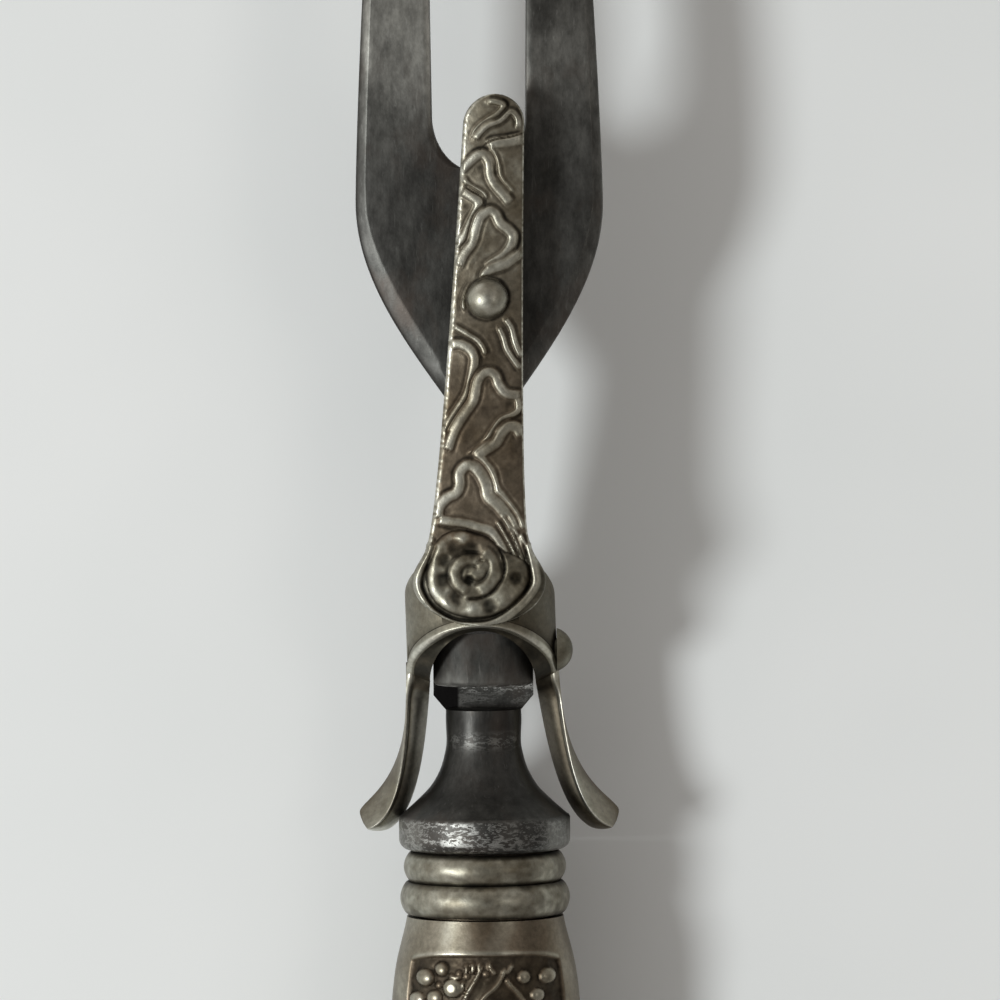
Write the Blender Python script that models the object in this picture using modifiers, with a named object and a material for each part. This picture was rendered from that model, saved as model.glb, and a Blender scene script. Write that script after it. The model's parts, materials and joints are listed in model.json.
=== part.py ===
"""Carving fork with a folding knife guard, built as an assembly of separate pieces.

Lengths are in millimetres and become metres as each mesh is made. The pieces are drawn in the fork's
own frame: +Y points to the tine tips, +Z is the convex side, the handle's axis is the Y axis, and the
guard's pin lies across the fork at Y = 0. Last, the assembly is laid on the plane Z = 0, where it rests
on its tine tips and on the butt of its handle.
"""

import math

import bmesh
import bpy
from mathutils import Vector

MM = 0.001

# Clearances
SEAT_GAP = 0.3            # between pieces that bear on each other or are soldered together
PIN_PLAY = 0.08           # radial, round the hinge pin and the rivet
SIDE_PLAY = 0.4           # on each side, between the hinge block and the guard's cheeks

# Tines, palm and shank
SHANK_LENGTH = 31.2       # pin to the start of the palm
SHANK_WIDTH = 8.2
SHANK_DEPTH = 5.6
SHANK_RISE = 3.8          # top of the shank above the handle's axis, beside the hinge block
PALM_LENGTH = 28.55       # start of the palm to the crotch
PALM_RISE = 6.0           # top of the palm above the handle's axis
PALM_DEPTH = 4.4
SHOULDER_WIDTH = 30.8
SHOULDER_RUN = 24.8       # start of the palm to its widest place
TINE_LENGTH = 95.0        # crotch to tips
TINE_DROP = 27.0          # how far the tines curve down to their tips
TIP_SPREAD = 18.8         # across the outer edges of the tips
TIP_WIDTH = 2.6           # of one tine, where its point starts
TIP_DEPTH = 2.2
POINT_LENGTH = 7.0
POINT_SIZE = 0.8
CROTCH_GAP = 11.6
CROTCH_ROUND = 7.0        # length of the rounded end of the gap
OUTER_BEVEL = 1.3
INNER_BEVEL = 0.5
BACK_BEVEL = 0.6
BEVEL_SLOPE = 0.65        # depth of the outer bevel over its width
BEVEL_LIMIT = 0.3         # largest share of a slender piece that a bevel takes
TINE_BOW = 1.3            # above 1 the tines draw in late, towards their tips
POINT_FULLNESS = 0.7      # below 1 the points stay full

# Hinge block, neck, bolster and tang
BLOCK_WIDTH = 12.5
BLOCK_HALF = 4.4          # pin to each flat that the spring bears on
BLOCK_CORNER = 1.2        # round of the edges that the spring rides over
BLOCK_SHOULDER = 5.0      # round of the top between the cheeks
BLOCK_BACK_ROUND = 0.8    # round of the upright edges at the back
BLOCK_DEPTH_BELOW = 7.0   # pin to the underside of the block
PIN_RISE = 2.2            # pin above the handle's axis
LEDGE_LENGTH = 2.9        # step behind the block
LEDGE_DROP = 2.0          # step below the pin
NECK_RADIUS = 4.7
NECK_LENGTH = 13.3        # end of the step to the bolster
NECK_BAND_SETBACK = 3.3   # end of the step to the worn band
NECK_BAND_LENGTH = 1.8
NECK_BAND_RISE = 0.12
BOLSTER_RADIUS = 10.75
BOLSTER_LENGTH = 4.4
BOLSTER_ROUND = 1.3       # at the ferrule
BOLSTER_LIP = 0.45        # bevel of the front edge
TANG_LENGTH = 62.0
TANG_RADIUS = 3.4
TANG_END_RADIUS = 2.0
TANG_POINT_RADIUS = 1.2

# Ferrule and handle
FERRULE_LENGTH = 7.8
FERRULE_BORE = 8.5
FRONT_BEAD_LENGTH = 3.75
FRONT_BEAD_RADIUS = 10.2
REAR_BEAD_RADIUS = 10.65
BEAD_GROOVE = 0.9
BEAD_FULLNESS = 0.7       # below 1 the beads are fuller than a sine wave
HANDLE_LENGTH = 110.0
HANDLE_MOUTH_WIDTH = 19.6
HANDLE_SHOULDER = 11.0    # mouth to the shoulder
HANDLE_SHOULDER_WIDTH = 23.6
HANDLE_SWELL = 37.4       # mouth to the widest place of the grip
HANDLE_SWELL_WIDTH = 24.6
HANDLE_WAIST = 33.0       # waist to the end of the butt
HANDLE_WAIST_WIDTH = 20.6
HANDLE_BUTT_WIDTH = 25.0
BUTT_CAP = 7.7            # length of the rounded end
BUTT_FLAT = 0.03          # share of the butt left as a flat end
HANDLE_DEPTH_SHARE = 0.82  # depth over width, past the mouth
FLAT_RUN = 24.2           # mouth to where the handle is fully flattened
SHELL_WALL = 0.7

# Knife guard: arm, saddle and legs
ARM_PAST_CROTCH = 9.65
ARM_TIP_WIDTH = 7.4
ARM_ROOT_WIDTH = 13.0
ARM_DEPTH = 2.0
ARM_EDGE = 0.5
ARM_CROWN = 0.35
ARM_SIDE_BEND = 2.1       # the slender arm is bent a little to one side at its tip
FAN_WIDTH = 16.6          # the arm's rounded root, spread over the saddle
FAN_CENTRE = 9.2          # ahead of the pin
FAN_RUN = 4.5             # widest place of the fan to the arm's root
FAN_DROOP = 0.5           # how far the fan's edge lies below the arm's
ARM_TAPER = 0.5           # below 1 the arm draws in early
SADDLE_WIDTH = 18.75
ROOF_CLEARANCE = 0.75     # between the turning block's corner and the roof
ROOF_WALL = 2.2
CHEEK_DROP = 6.0          # pin to the lower edge of the cheeks
CHEEK_FRONT = 3.0         # lower front corner of the cheeks ahead of the pin
CHEEK_BACK = 4.6          # back edge of the cheeks behind the pin
CHEEK_ROUND = 2.2
SADDLE_FRONT = 13.0       # where the saddle runs out under the arm
ARCH_CROWN = 3.6          # top of the open arch's rim ahead of the pin
ARCH_FOOT = 2.7           # where the rim runs into the legs, behind the pin
REVEAL_CROWN = 2.75       # the same two places for the inner edge of the arch
REVEAL_FOOT = 4.0
RIM_WIDTH = 0.75          # flat of the worn rim round the arch and along the legs
RIM_DEPTH = 1.2           # how far the rim's bar runs into the saddle
RIM_PROUD = 0.15          # how far it stands out of the saddle's outside
REVEAL_PROUD = 0.05       # and of its inside
LEG_TOP_DROP = 1.2        # top of the legs below the pin
LEG_DEPTH = 4.6
LEG_EDGE = 0.8            # height of the legs' lower inner edge
LEG_UNDERCUT = 0.3        # how far the underside lies inside that edge
FOOT_SPAN = 32.4          # across the flared walls at the ends of the feet
FOOT_RIM_SPAN = 31.0
FOOT_INNER_SPAN = 29.4
FOOT_WALL_SETBACK = 21.2  # pin to the ends of the feet: wall, rim and inner edge
FOOT_RIM_SETBACK = 22.4
FOOT_INNER_SETBACK = 23.1

# Pin, spring and rivet
PIN_RADIUS = 1.5
PIN_HEAD_RADIUS = 2.7
PIN_HEAD_HEIGHT = 2.0
RIVET_FROM_TIP = 25.3
RIVET_RADIUS = 1.2
BEAD_RADIUS = 2.6
BEAD_HEIGHT = 1.7
TAIL_RADIUS = 1.9
TAIL_END_RADIUS = 1.3
TAIL_HEIGHT = 0.7
SPRING_WIDTH = 5.0
SPRING_DEPTH = 0.7
SPRING_SEAT = 5.0         # flat length beyond the rivet
SPRING_BEARING = 1.0      # end of the spring's bow ahead of the block
SPRING_TIP = 2.6          # free end ahead of the pin
SPRING_LIFT = 0.7         # upturn of the free end

# Pull points of the curves, as shares of each curve's run and rise
FLARE_PULLS = ((0.05, 0.45), (0.42, 0.86))      # neck to bolster
CHEEK_PULLS = ((0.29, 0.26), (0.71, 0.65))      # arm to the cheeks' lower corner
RIM_PULLS = ((0.10, 0.50), (0.24, 0.93))        # rim of the leg, arch to foot
INNER_PULLS = ((0.12, 0.42), (0.30, 1.02))      # inner edge of the leg
WALL_PULLS = ((0.0, 0.85), (1.05, 0.85))        # flared outer wall of the leg
SPRING_PULLS = ((0.37, 0.0), (0.71, 1.0))       # seat on the arm to the hinge block

# Shares that shape the saddle and its legs
ROOF_FULLNESS = 4.0       # 2 is a round arch, more fills its shoulders
LEG_SETTLE = 0.13         # share of a leg in which the arch's section becomes the leg's
FOOT_ROUND = 0.12         # share of a leg that rounds off its foot
FOOT_END = 0.35           # size of the foot's end against the foot

# Facets
ROUND_STEPS = 32
PIN_STEPS = 24
ARC_STEPS = 6
CURVE_ROWS = 12
BEAD_STEPS = 8
POINT_ROWS = 5
TINE_ROWS = 13
CROTCH_ROWS = 9
PALM_ROWS = 13
SHANK_ROWS = 8
ARM_ROWS = 9
ARCH_ROWS = 12
LEG_ROWS = 20
HANDLE_ROWS = 17
LAST_TURN = math.radians(84)    # how far round its end the arm's last section lies
SHARP_ANGLE = math.radians(35)  # edges above this angle stay crisp
MERGE = 0.000001                # distance in metres at which points become one
SETTLE_STEPS = 5                # tries at laying the fork level

# Colours, roughness and metal of each finish
STEEL = ((0.10, 0.098, 0.090), 0.42)
NICKEL_SILVER = ((0.34, 0.32, 0.26), 0.33)
SPRING_STEEL = ((0.16, 0.155, 0.15), 0.38)
CEMENT = ((0.24, 0.20, 0.16), 0.9)

# Places that follow from the sizes above
PALM_START = SHANK_LENGTH
SHOULDER_Y = PALM_START + SHOULDER_RUN
CROTCH_Y = PALM_START + PALM_LENGTH
TIP_Y = CROTCH_Y + TINE_LENGTH
LEDGE_END = -(BLOCK_HALF + LEDGE_LENGTH)
BOLSTER_FRONT = LEDGE_END - NECK_LENGTH
BOLSTER_BACK = BOLSTER_FRONT - BOLSTER_LENGTH
FERRULE_FRONT = BOLSTER_BACK - SEAT_GAP
FERRULE_BACK = FERRULE_FRONT - FERRULE_LENGTH
HANDLE_FRONT = FERRULE_BACK - SEAT_GAP
SOCKET_RADIUS = FERRULE_BORE - SEAT_GAP
CORNER_REACH = math.sqrt(2.0) * (BLOCK_HALF - BLOCK_CORNER) + BLOCK_CORNER
ROOF_UNDERSIDE = CORNER_REACH + ROOF_CLEARANCE
ROOF_TOP = ROOF_UNDERSIDE + ROOF_WALL
ARM_TOP = ROOF_TOP + ARM_EDGE
ARM_UNDERSIDE = ARM_TOP - ARM_DEPTH
ARM_TIP = CROTCH_Y + ARM_PAST_CROTCH
RIVET_Y = ARM_TIP - RIVET_FROM_TIP
CHEEK_INNER = BLOCK_WIDTH / 2 + SIDE_PLAY
CHEEK_OUTER = SADDLE_WIDTH / 2
BARREL_CENTRE = ROOF_TOP - CHEEK_OUTER
LEG_TOP = -LEG_TOP_DROP
LEG_LOW = LEG_TOP - LEG_DEPTH


def material(name, finish, metallic=1.0):
    """A plain Principled material of one colour."""
    colour, roughness = finish
    made = bpy.data.materials.new(name)
    made.use_nodes = True
    shader = made.node_tree.nodes["Principled BSDF"]
    shader.inputs["Base Color"].default_value = (*colour, 1.0)
    shader.inputs["Roughness"].default_value = roughness
    shader.inputs["Metallic"].default_value = metallic
    made.diffuse_color = (*colour, 1.0)
    return made


def smoothstep(value):
    """Ease from 0 to 1."""
    value = min(max(value, 0.0), 1.0)
    return value * value * (3.0 - 2.0 * value)


def mix(first, second, share):
    return first + (second - first) * share


def spread(first, last, count):
    """Evenly spaced numbers from first to last, both included."""
    return [mix(first, last, step / (count - 1)) for step in range(count)]


def bezier(points, count):
    """Points along a cubic Bezier curve in the plane."""
    start, first, second, end = [Vector(point) for point in points]
    curve = []
    for share in spread(0.0, 1.0, count):
        rest = 1.0 - share
        curve.append(start * rest ** 3 + first * (3 * rest * rest * share)
                     + second * (3 * rest * share * share) + end * share ** 3)
    return curve


def sweep(start, end, pulls, count=CURVE_ROWS):
    """A curve between two points with its pull points given as shares of its run and rise."""
    handles = [(mix(start[0], end[0], run), mix(start[1], end[1], rise)) for run, rise in pulls]
    return [tuple(point) for point in bezier([start, *handles, end], count)]


def spline(knots, places):
    """Values at places on a smooth curve through knots, each a place and a value."""
    values = []
    for place in places:
        index = 0
        while index < len(knots) - 2 and place > knots[index + 1][0]:
            index += 1
        (x0, y0), (x1, y1) = knots[index], knots[index + 1]
        before = knots[max(index - 1, 0)]
        after = knots[min(index + 2, len(knots) - 1)]
        slope0 = (y1 - before[1]) / (x1 - before[0])
        slope1 = (after[1] - y0) / (after[0] - x0)
        run = x1 - x0
        t = (place - x0) / run
        values.append((2 * t ** 3 - 3 * t ** 2 + 1) * y0 + (t ** 3 - 2 * t ** 2 + t) * run * slope0
                      + (3 * t ** 2 - 2 * t ** 3) * y1 + (t ** 3 - t ** 2) * run * slope1)
    return values


def mesh_of(bm, name):
    """Turn millimetre geometry into a mesh in metres with its faces pointing out."""
    bmesh.ops.scale(bm, vec=(MM, MM, MM), verts=bm.verts)
    bmesh.ops.recalc_face_normals(bm, faces=bm.faces)
    mesh = bpy.data.meshes.new(name)
    bm.to_mesh(mesh)
    bm.free()
    return mesh


def loft(rings, name, closed=True, capped=True):
    """Skin a row of rings that have the same number of points."""
    bm = bmesh.new()
    rows = [[bm.verts.new(point) for point in ring] for ring in rings]
    count = len(rows[0])
    sides = count if closed else count - 1
    for near, far in zip(rows, rows[1:]):
        for side in range(sides):
            after = (side + 1) % count
            bm.faces.new((near[side], near[after], far[after], far[side]))
    if capped:
        bm.faces.new(rows[0])
        bm.faces.new(rows[-1])
    return mesh_of(bm, name)


def prism(outline, low, high, axis, name):
    """Extrude a flat outline of two coordinates along the third one."""
    place = {"X": lambda u, v, w: (w, u, v), "Y": lambda u, v, w: (u, w, v), "Z": lambda u, v, w: (u, v, w)}
    rings = [[place[axis](u, v, level) for u, v in outline] for level in (low, high)]
    return loft(rings, name)


def add_object(name, mesh, collection, parent):
    made = bpy.data.objects.new(name, mesh)
    collection.objects.link(made)
    made.parent = parent
    return made


def add_piece(name, mesh, finish, parent):
    """A piece of the fork, shaded smooth up to the sharp angle."""
    made = add_object(name, mesh, PARTS, parent)
    mesh.materials.append(finish)
    mesh.shade_smooth()
    mesh.set_sharp_from_angle(angle=SHARP_ANGLE)
    return made


def add_tool(name, mesh, parent):
    """A shape that only joins or cuts another piece."""
    made = add_object(name, mesh, TOOLS, parent)
    made.hide_render = True
    made.display_type = "WIRE"
    return made


def boolean(piece, tool, operation):
    change = piece.modifiers.new(tool.name, "BOOLEAN")
    change.operation = operation
    change.object = tool
    change.solver = "EXACT"


def turn(profile, name, closed=False):
    """A Screw about Z from a profile of radius and height that runs from the top down."""
    bm = bmesh.new()
    points = [bm.verts.new((radius, 0.0, height)) for radius, height in profile]
    for near, far in zip(points, points[1:]):
        bm.edges.new((near, far))
    if closed:
        bm.edges.new((points[-1], points[0]))
    bmesh.ops.scale(bm, vec=(MM, MM, MM), verts=bm.verts)
    mesh = bpy.data.meshes.new(name)
    bm.to_mesh(mesh)
    bm.free()
    return mesh


def spin(piece, steps=ROUND_STEPS):
    """Revolve a turned profile once about its axis."""
    screw = piece.modifiers.new("Turn", "SCREW")
    screw.axis = "Z"
    screw.steps = steps
    screw.render_steps = steps
    screw.use_merge_vertices = True
    screw.merge_threshold = MERGE
    screw.use_smooth_shade = True


def lay_along_fork(piece):
    """Turn a piece that is drawn about Z so that its top points to the tines."""
    piece.rotation_euler.x = -math.pi / 2


def lay_across_fork(piece):
    """Turn a piece that is drawn about Z so that its top points to the right."""
    piece.rotation_euler.y = math.pi / 2


def dome(radius, height, base):
    """Profile of a domed head from its crown down to its rim."""
    ball = (radius * radius + height * height) / (2 * height)
    reach = math.asin(min(radius / ball, 1.0))
    if height > radius:
        reach = math.pi - reach
    angles = spread(0.0, reach, ARC_STEPS + 1)
    return [(ball * math.sin(angle), base + height - ball + ball * math.cos(angle)) for angle in angles]


# Forged steel: tines, palm, shank, hinge block, neck, bolster and tang

def outer_edge(y):
    """Half width of the fork's head at a place along it."""
    shank, shoulder, tip = SHANK_WIDTH / 2, SHOULDER_WIDTH / 2, TIP_SPREAD / 2
    if y <= PALM_START:
        return shank
    if y <= SHOULDER_Y:
        return mix(shank, shoulder, math.sin(math.pi / 2 * (y - PALM_START) / SHOULDER_RUN))
    return mix(shoulder, tip, ((y - SHOULDER_Y) / (TIP_Y - SHOULDER_Y)) ** TINE_BOW)


def inner_edge(y):
    """Half of the gap between the tines at a place along them."""
    root, tip = CROTCH_GAP / 2, TIP_SPREAD / 2 - TIP_WIDTH
    round_end = CROTCH_Y + CROTCH_ROUND
    if y >= round_end:
        return mix(root, tip, (y - round_end) / (TIP_Y - round_end))
    return root * math.sqrt(max(1.0 - ((round_end - y) / CROTCH_ROUND) ** 2, 0.0))


def head_top(y):
    """Height of the front face: it climbs from the shank to the palm, then curves down to the tips."""
    if y <= CROTCH_Y:
        return mix(SHANK_RISE, PALM_RISE, smoothstep((y - BLOCK_HALF) / (PALM_START - BLOCK_HALF)))
    return PALM_RISE - TINE_DROP * ((y - CROTCH_Y) / TINE_LENGTH) ** 2


def head_depth(y):
    if y <= CROTCH_Y:
        return mix(SHANK_DEPTH, PALM_DEPTH, smoothstep((y - BLOCK_HALF) / (PALM_START - BLOCK_HALF)))
    return mix(PALM_DEPTH, TIP_DEPTH, (y - CROTCH_Y) / TINE_LENGTH)


def half_section(y, split):
    """Right half of the head's section, from the middle over the front, the edge and the back."""
    outer, inner = outer_edge(y), inner_edge(y) if split else 0.0
    top, depth = head_top(y), head_depth(y)
    low = top - depth
    point = min(max((TIP_Y - y) / POINT_LENGTH, 0.0), 1.0)
    centre, middle = (outer + inner) / 2, top - depth / 2
    bevel = min(OUTER_BEVEL, (outer - inner) * BEVEL_LIMIT)
    rise = min(bevel * BEVEL_SLOPE, depth * BEVEL_LIMIT)
    back = min(BACK_BEVEL, depth * BEVEL_LIMIT)
    gap_bevel = min(INNER_BEVEL, depth * BEVEL_LIMIT)
    section = [(inner + gap_bevel * split, top), (outer - bevel, top), (outer, top - rise),
               (outer, low + back), (outer - back, low), (inner + gap_bevel * split, low)]
    if split:
        section += [(inner, low + gap_bevel), (inner, top - gap_bevel)]
    width_share = mix(min(POINT_SIZE / TIP_WIDTH, 1.0), 1.0, point ** POINT_FULLNESS)
    depth_share = mix(min(POINT_SIZE / TIP_DEPTH, 1.0), 1.0, point ** POINT_FULLNESS)
    if point < 1.0:
        section = [(mix(centre, x, width_share), mix(middle, z, depth_share)) for x, z in section]
    return [(x, y, z) for x, z in section]


def head_mesh():
    """Right half of the head as two lofts that meet at the crotch, open at the middle plane."""
    point_rows = spread(TIP_Y, TIP_Y - POINT_LENGTH, POINT_ROWS)
    tine_rows = spread(TIP_Y - POINT_LENGTH, CROTCH_Y + CROTCH_ROUND, TINE_ROWS)[1:]
    turns = spread(math.pi / 2, 0.0, CROTCH_ROWS)[1:]
    round_rows = [CROTCH_Y + CROTCH_ROUND * (1.0 - math.cos(angle)) for angle in turns]
    palm_rows = spread(CROTCH_Y - INNER_BEVEL, PALM_START, PALM_ROWS)
    shank_rows = spread(PALM_START, 0.0, SHANK_ROWS)[1:]
    bm = bmesh.new()
    tines = [[bm.verts.new(p) for p in half_section(y, True)] for y in point_rows + tine_rows + round_rows]
    palm = [[bm.verts.new(p) for p in half_section(y, False)] for y in palm_rows + shank_rows]
    for near, far in zip(tines, tines[1:]):
        for side in range(len(near)):
            after = (side + 1) % len(near)
            bm.faces.new((near[side], near[after], far[after], far[side]))
    for near, far in zip([tines[-1]] + palm, palm):
        for side in range(len(far) - 1):
            bm.faces.new((near[side], near[side + 1], far[side + 1], far[side]))
    crotch, first = tines[-1], palm[0]
    bm.faces.new((crotch[7], crotch[0], first[0]))
    bm.faces.new((crotch[5], crotch[6], first[5]))
    bm.faces.new(tines[0])
    bm.faces.new(palm[-1])
    return mesh_of(bm, "fork_forging")


def round_corner(centre, radius, start, end):
    """Points of an arc in a flat outline, from one angle to another in degrees."""
    angles = spread(math.radians(start), math.radians(end), ARC_STEPS)
    return [(centre[0] + radius * math.cos(angle), centre[1] + radius * math.sin(angle)) for angle in angles]


def block_mesh():
    """Hinge block seen from the side, with rounded corners for the spring to ride over."""
    top = PIN_RISE + BLOCK_HALF
    low = PIN_RISE - BLOCK_DEPTH_BELOW
    reach, level = BLOCK_HALF - BLOCK_CORNER, top - BLOCK_CORNER
    outline = [(-BLOCK_HALF, low)]
    outline += round_corner((-reach, level), BLOCK_CORNER, 180, 90)
    outline += round_corner((reach, level), BLOCK_CORNER, 90, 0)
    outline += [(BLOCK_HALF, SHANK_RISE - SHANK_DEPTH / 2), (reach, low)]
    return prism(outline, -BLOCK_WIDTH, BLOCK_WIDTH, "X", "hinge_block")


def block_front_mesh():
    """Hinge block seen along the fork, with a rounded top between the cheeks."""
    half, top = BLOCK_WIDTH / 2, PIN_RISE + BLOCK_HALF
    reach, level = half - BLOCK_SHOULDER, top - BLOCK_SHOULDER
    low = PIN_RISE - BLOCK_DEPTH_BELOW - SEAT_GAP
    outline = [(-half, low)] + round_corner((-reach, level), BLOCK_SHOULDER, 180, 90)
    outline += round_corner((reach, level), BLOCK_SHOULDER, 90, 0) + [(half, low)]
    return prism(outline, -BLOCK_WIDTH, BLOCK_WIDTH, "Y", "hinge_block_front")


def block_plan_mesh():
    """Hinge block seen from above, with its back edges rounded to pass under the saddle."""
    half, depth = BLOCK_WIDTH / 2, BLOCK_HALF + SEAT_GAP
    reach, level = half - BLOCK_BACK_ROUND, BLOCK_BACK_ROUND - BLOCK_HALF
    outline = [(half + SEAT_GAP, depth), (-half - SEAT_GAP, depth)]
    outline += round_corner((-reach, level), BLOCK_BACK_ROUND, 180, 270)
    outline += round_corner((reach, level), BLOCK_BACK_ROUND, 270, 360)
    return prism(outline, -2 * BLOCK_DEPTH_BELOW, 2 * BLOCK_DEPTH_BELOW, "Z", "hinge_block_plan")


def ledge_mesh():
    """Step behind the block, with its corners cut back to the neck."""
    half, taper = BLOCK_WIDTH / 2, BLOCK_WIDTH / 2 - NECK_RADIUS
    back = LEDGE_END - SEAT_GAP
    outline = [(-half, 0.0), (-half, LEDGE_END + taper), (-NECK_RADIUS, back),
               (NECK_RADIUS, back), (half, LEDGE_END + taper), (half, 0.0)]
    return prism(outline, PIN_RISE - BLOCK_DEPTH_BELOW, PIN_RISE - LEDGE_DROP, "Z", "hinge_ledge")


def neck_profile():
    """Neck with its worn band, flare, bolster flange and tapered tang, from the block to the tang's end."""
    band = LEDGE_END - NECK_BAND_SETBACK
    profile = [(0.0, LEDGE_END), (NECK_RADIUS, LEDGE_END), (NECK_RADIUS, band),
               (NECK_RADIUS + NECK_BAND_RISE, band - NECK_BAND_RISE),
               (NECK_RADIUS + NECK_BAND_RISE, band - NECK_BAND_LENGTH)]
    flare_start = band - NECK_BAND_LENGTH - NECK_BAND_RISE
    profile += sweep((NECK_RADIUS, flare_start), (BOLSTER_RADIUS - BOLSTER_LIP, BOLSTER_FRONT), FLARE_PULLS)
    profile.append((BOLSTER_RADIUS, BOLSTER_FRONT - BOLSTER_LIP))
    for angle in spread(0.0, math.pi / 2, ARC_STEPS):
        profile.append((BOLSTER_RADIUS - BOLSTER_ROUND * (1.0 - math.cos(angle)),
                        BOLSTER_BACK + BOLSTER_ROUND * (1.0 - math.sin(angle))))
    tang_end = BOLSTER_BACK - TANG_LENGTH
    profile += [(TANG_RADIUS, BOLSTER_BACK), (TANG_END_RADIUS, tang_end + TANG_END_RADIUS),
                (TANG_POINT_RADIUS, tang_end), (0.0, tang_end)]
    return profile


def pin_hole(name, parent):
    """Cutter for the pin's hole through the block or the cheeks."""
    radius = PIN_RADIUS + PIN_PLAY
    hole = add_tool(name, turn([(0.0, SADDLE_WIDTH), (radius, SADDLE_WIDTH), (radius, -SADDLE_WIDTH),
                                (0.0, -SADDLE_WIDTH)], name), parent)
    spin(hole, PIN_STEPS)
    lay_across_fork(hole)
    return hole


def make_forging():
    forging = add_piece("fork_forging", head_mesh(), material("dark_steel", STEEL), FORK)
    mirror = forging.modifiers.new("Two sides", "MIRROR")
    mirror.use_axis = (True, False, False)
    mirror.merge_threshold = MERGE
    neck = add_tool("neck_turning", turn(neck_profile(), "neck_turning"), FORK)
    spin(neck)
    lay_along_fork(neck)
    hole = pin_hole("block_pin_hole", FORK)
    hole.location.z = PIN_RISE * MM
    block = add_tool("hinge_block", block_mesh(), FORK)
    boolean(block, add_tool("hinge_block_front", block_front_mesh(), FORK), "INTERSECT")
    boolean(block, add_tool("hinge_block_plan", block_plan_mesh(), FORK), "INTERSECT")
    boolean(forging, block, "UNION")
    boolean(forging, add_tool("hinge_ledge", ledge_mesh(), FORK), "UNION")
    boolean(forging, neck, "UNION")
    boolean(forging, hole, "DIFFERENCE")


# Knife guard, drawn about the pin

def arm_half_width(y):
    """Half width of the arm from its rounded root, over the fan and the taper, to its rounded tip."""
    fan, root, tip = FAN_WIDTH / 2, ARM_ROOT_WIDTH / 2, ARM_TIP_WIDTH / 2
    neck = FAN_CENTRE + FAN_RUN
    if y < FAN_CENTRE:
        depth = FAN_CENTRE - ARCH_CROWN
        return fan * math.sqrt(max(1.0 - ((FAN_CENTRE - y) / depth) ** 2, 0.0))
    if y < neck:
        return mix(fan, root, smoothstep((y - FAN_CENTRE) / (neck - FAN_CENTRE)))
    straight = mix(root, tip, ((y - neck) / (ARM_TIP - neck)) ** ARM_TAPER)
    if y > ARM_TIP - tip:
        return straight * math.sqrt(max(1.0 - ((y - ARM_TIP + tip) / tip) ** 2, 0.0))
    return straight


def arm_bend(y):
    """Sideways bend of the arm's middle line."""
    return ARM_SIDE_BEND * max((y - SADDLE_FRONT) / (ARM_TIP - SADDLE_FRONT), 0.0)


def arm_mesh():
    tip = ARM_TIP_WIDTH / 2
    neck = FAN_CENTRE + FAN_RUN
    turns = spread(LAST_TURN, 0.0, ARC_STEPS + 1)
    rows = [FAN_CENTRE - (FAN_CENTRE - ARCH_CROWN) * math.sin(angle) for angle in turns]
    rows += spread(FAN_CENTRE, neck, ARC_STEPS)[1:]
    rows += spread(neck, ARM_TIP - tip, ARM_ROWS)[1:]
    rows += [ARM_TIP - tip + tip * math.sin(angle) for angle in reversed(turns[:-1])]
    rings = []
    for y in rows:
        half, shift = arm_half_width(y), arm_bend(y)
        edge = min(ARM_EDGE, half * BEVEL_LIMIT)
        droop = FAN_DROOP * smoothstep((2 * half - ARM_ROOT_WIDTH) / (FAN_WIDTH - ARM_ROOT_WIDTH))
        right = [(half, ARM_UNDERSIDE - droop), (half, ARM_TOP - ARM_EDGE - droop),
                 (half - edge, ARM_TOP - droop), (half / 2, ARM_TOP + ARM_CROWN * 3 / 4)]
        left = [(-x, z) for x, z in reversed(right)]
        rings.append([(x + shift, y, z) for x, z in right + [(0.0, ARM_TOP + ARM_CROWN)] + left])
    return loft(rings, "guard")


def roof_height(x, proud=0.0):
    """Underside of the saddle at a place across it: an arch with full shoulders between the cheeks."""
    share = min(abs(x) / (CHEEK_INNER - proud), 1.0)
    rise = (1.0 - share ** ROOF_FULLNESS) ** (1.0 / ROOF_FULLNESS)
    return mix(BARREL_CENTRE, ROOF_UNDERSIDE - proud, rise)


def barrel_mesh():
    """Saddle seen along the fork: a round roof that runs down into two flat cheeks."""
    outline = [(CHEEK_OUTER, -CHEEK_DROP)]
    for angle in spread(0.0, math.pi, 3 * ARC_STEPS + 1):
        outline.append((CHEEK_OUTER * math.cos(angle), BARREL_CENTRE + CHEEK_OUTER * math.sin(angle)))
    outline += [(-CHEEK_OUTER, -CHEEK_DROP), (-CHEEK_INNER, -CHEEK_DROP)]
    for angle in spread(math.pi, 0.0, 3 * ARC_STEPS + 1):
        across = math.copysign(abs(math.cos(angle)) ** (2.0 / ROOF_FULLNESS), math.cos(angle)) * CHEEK_INNER
        outline.append((across, roof_height(across)))
    outline.append((CHEEK_INNER, -CHEEK_DROP))
    return prism(outline, -LEG_DEPTH - CHEEK_BACK, SADDLE_FRONT, "Y", "saddle_barrel")


def mouth_mesh():
    """Side outline of the saddle: sloping cheeks in front and, behind, a slant along the arch's rim."""
    above = ROOF_TOP + ARM_DEPTH
    front, below = SADDLE_FRONT - SEAT_GAP, -CHEEK_DROP - SEAT_GAP
    corner = (CHEEK_FRONT, CHEEK_ROUND - CHEEK_DROP)
    seat = RIM_DEPTH / 2
    outline = [(front, above)]
    outline += sweep((front, ARM_UNDERSIDE), (corner[0] + CHEEK_ROUND, corner[1]), CHEEK_PULLS)
    outline += round_corner(corner, CHEEK_ROUND, 0, -90)
    outline += [(CHEEK_FRONT, below), (-CHEEK_BACK, below), (-CHEEK_BACK, LEG_TOP - LEG_EDGE),
                (seat - ARCH_FOOT, BARREL_CENTRE), (seat + ARCH_CROWN, ROOF_TOP), (seat + ARCH_CROWN, above)]
    return prism(outline, -SADDLE_WIDTH, SADDLE_WIDTH, "X", "saddle_side")


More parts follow.
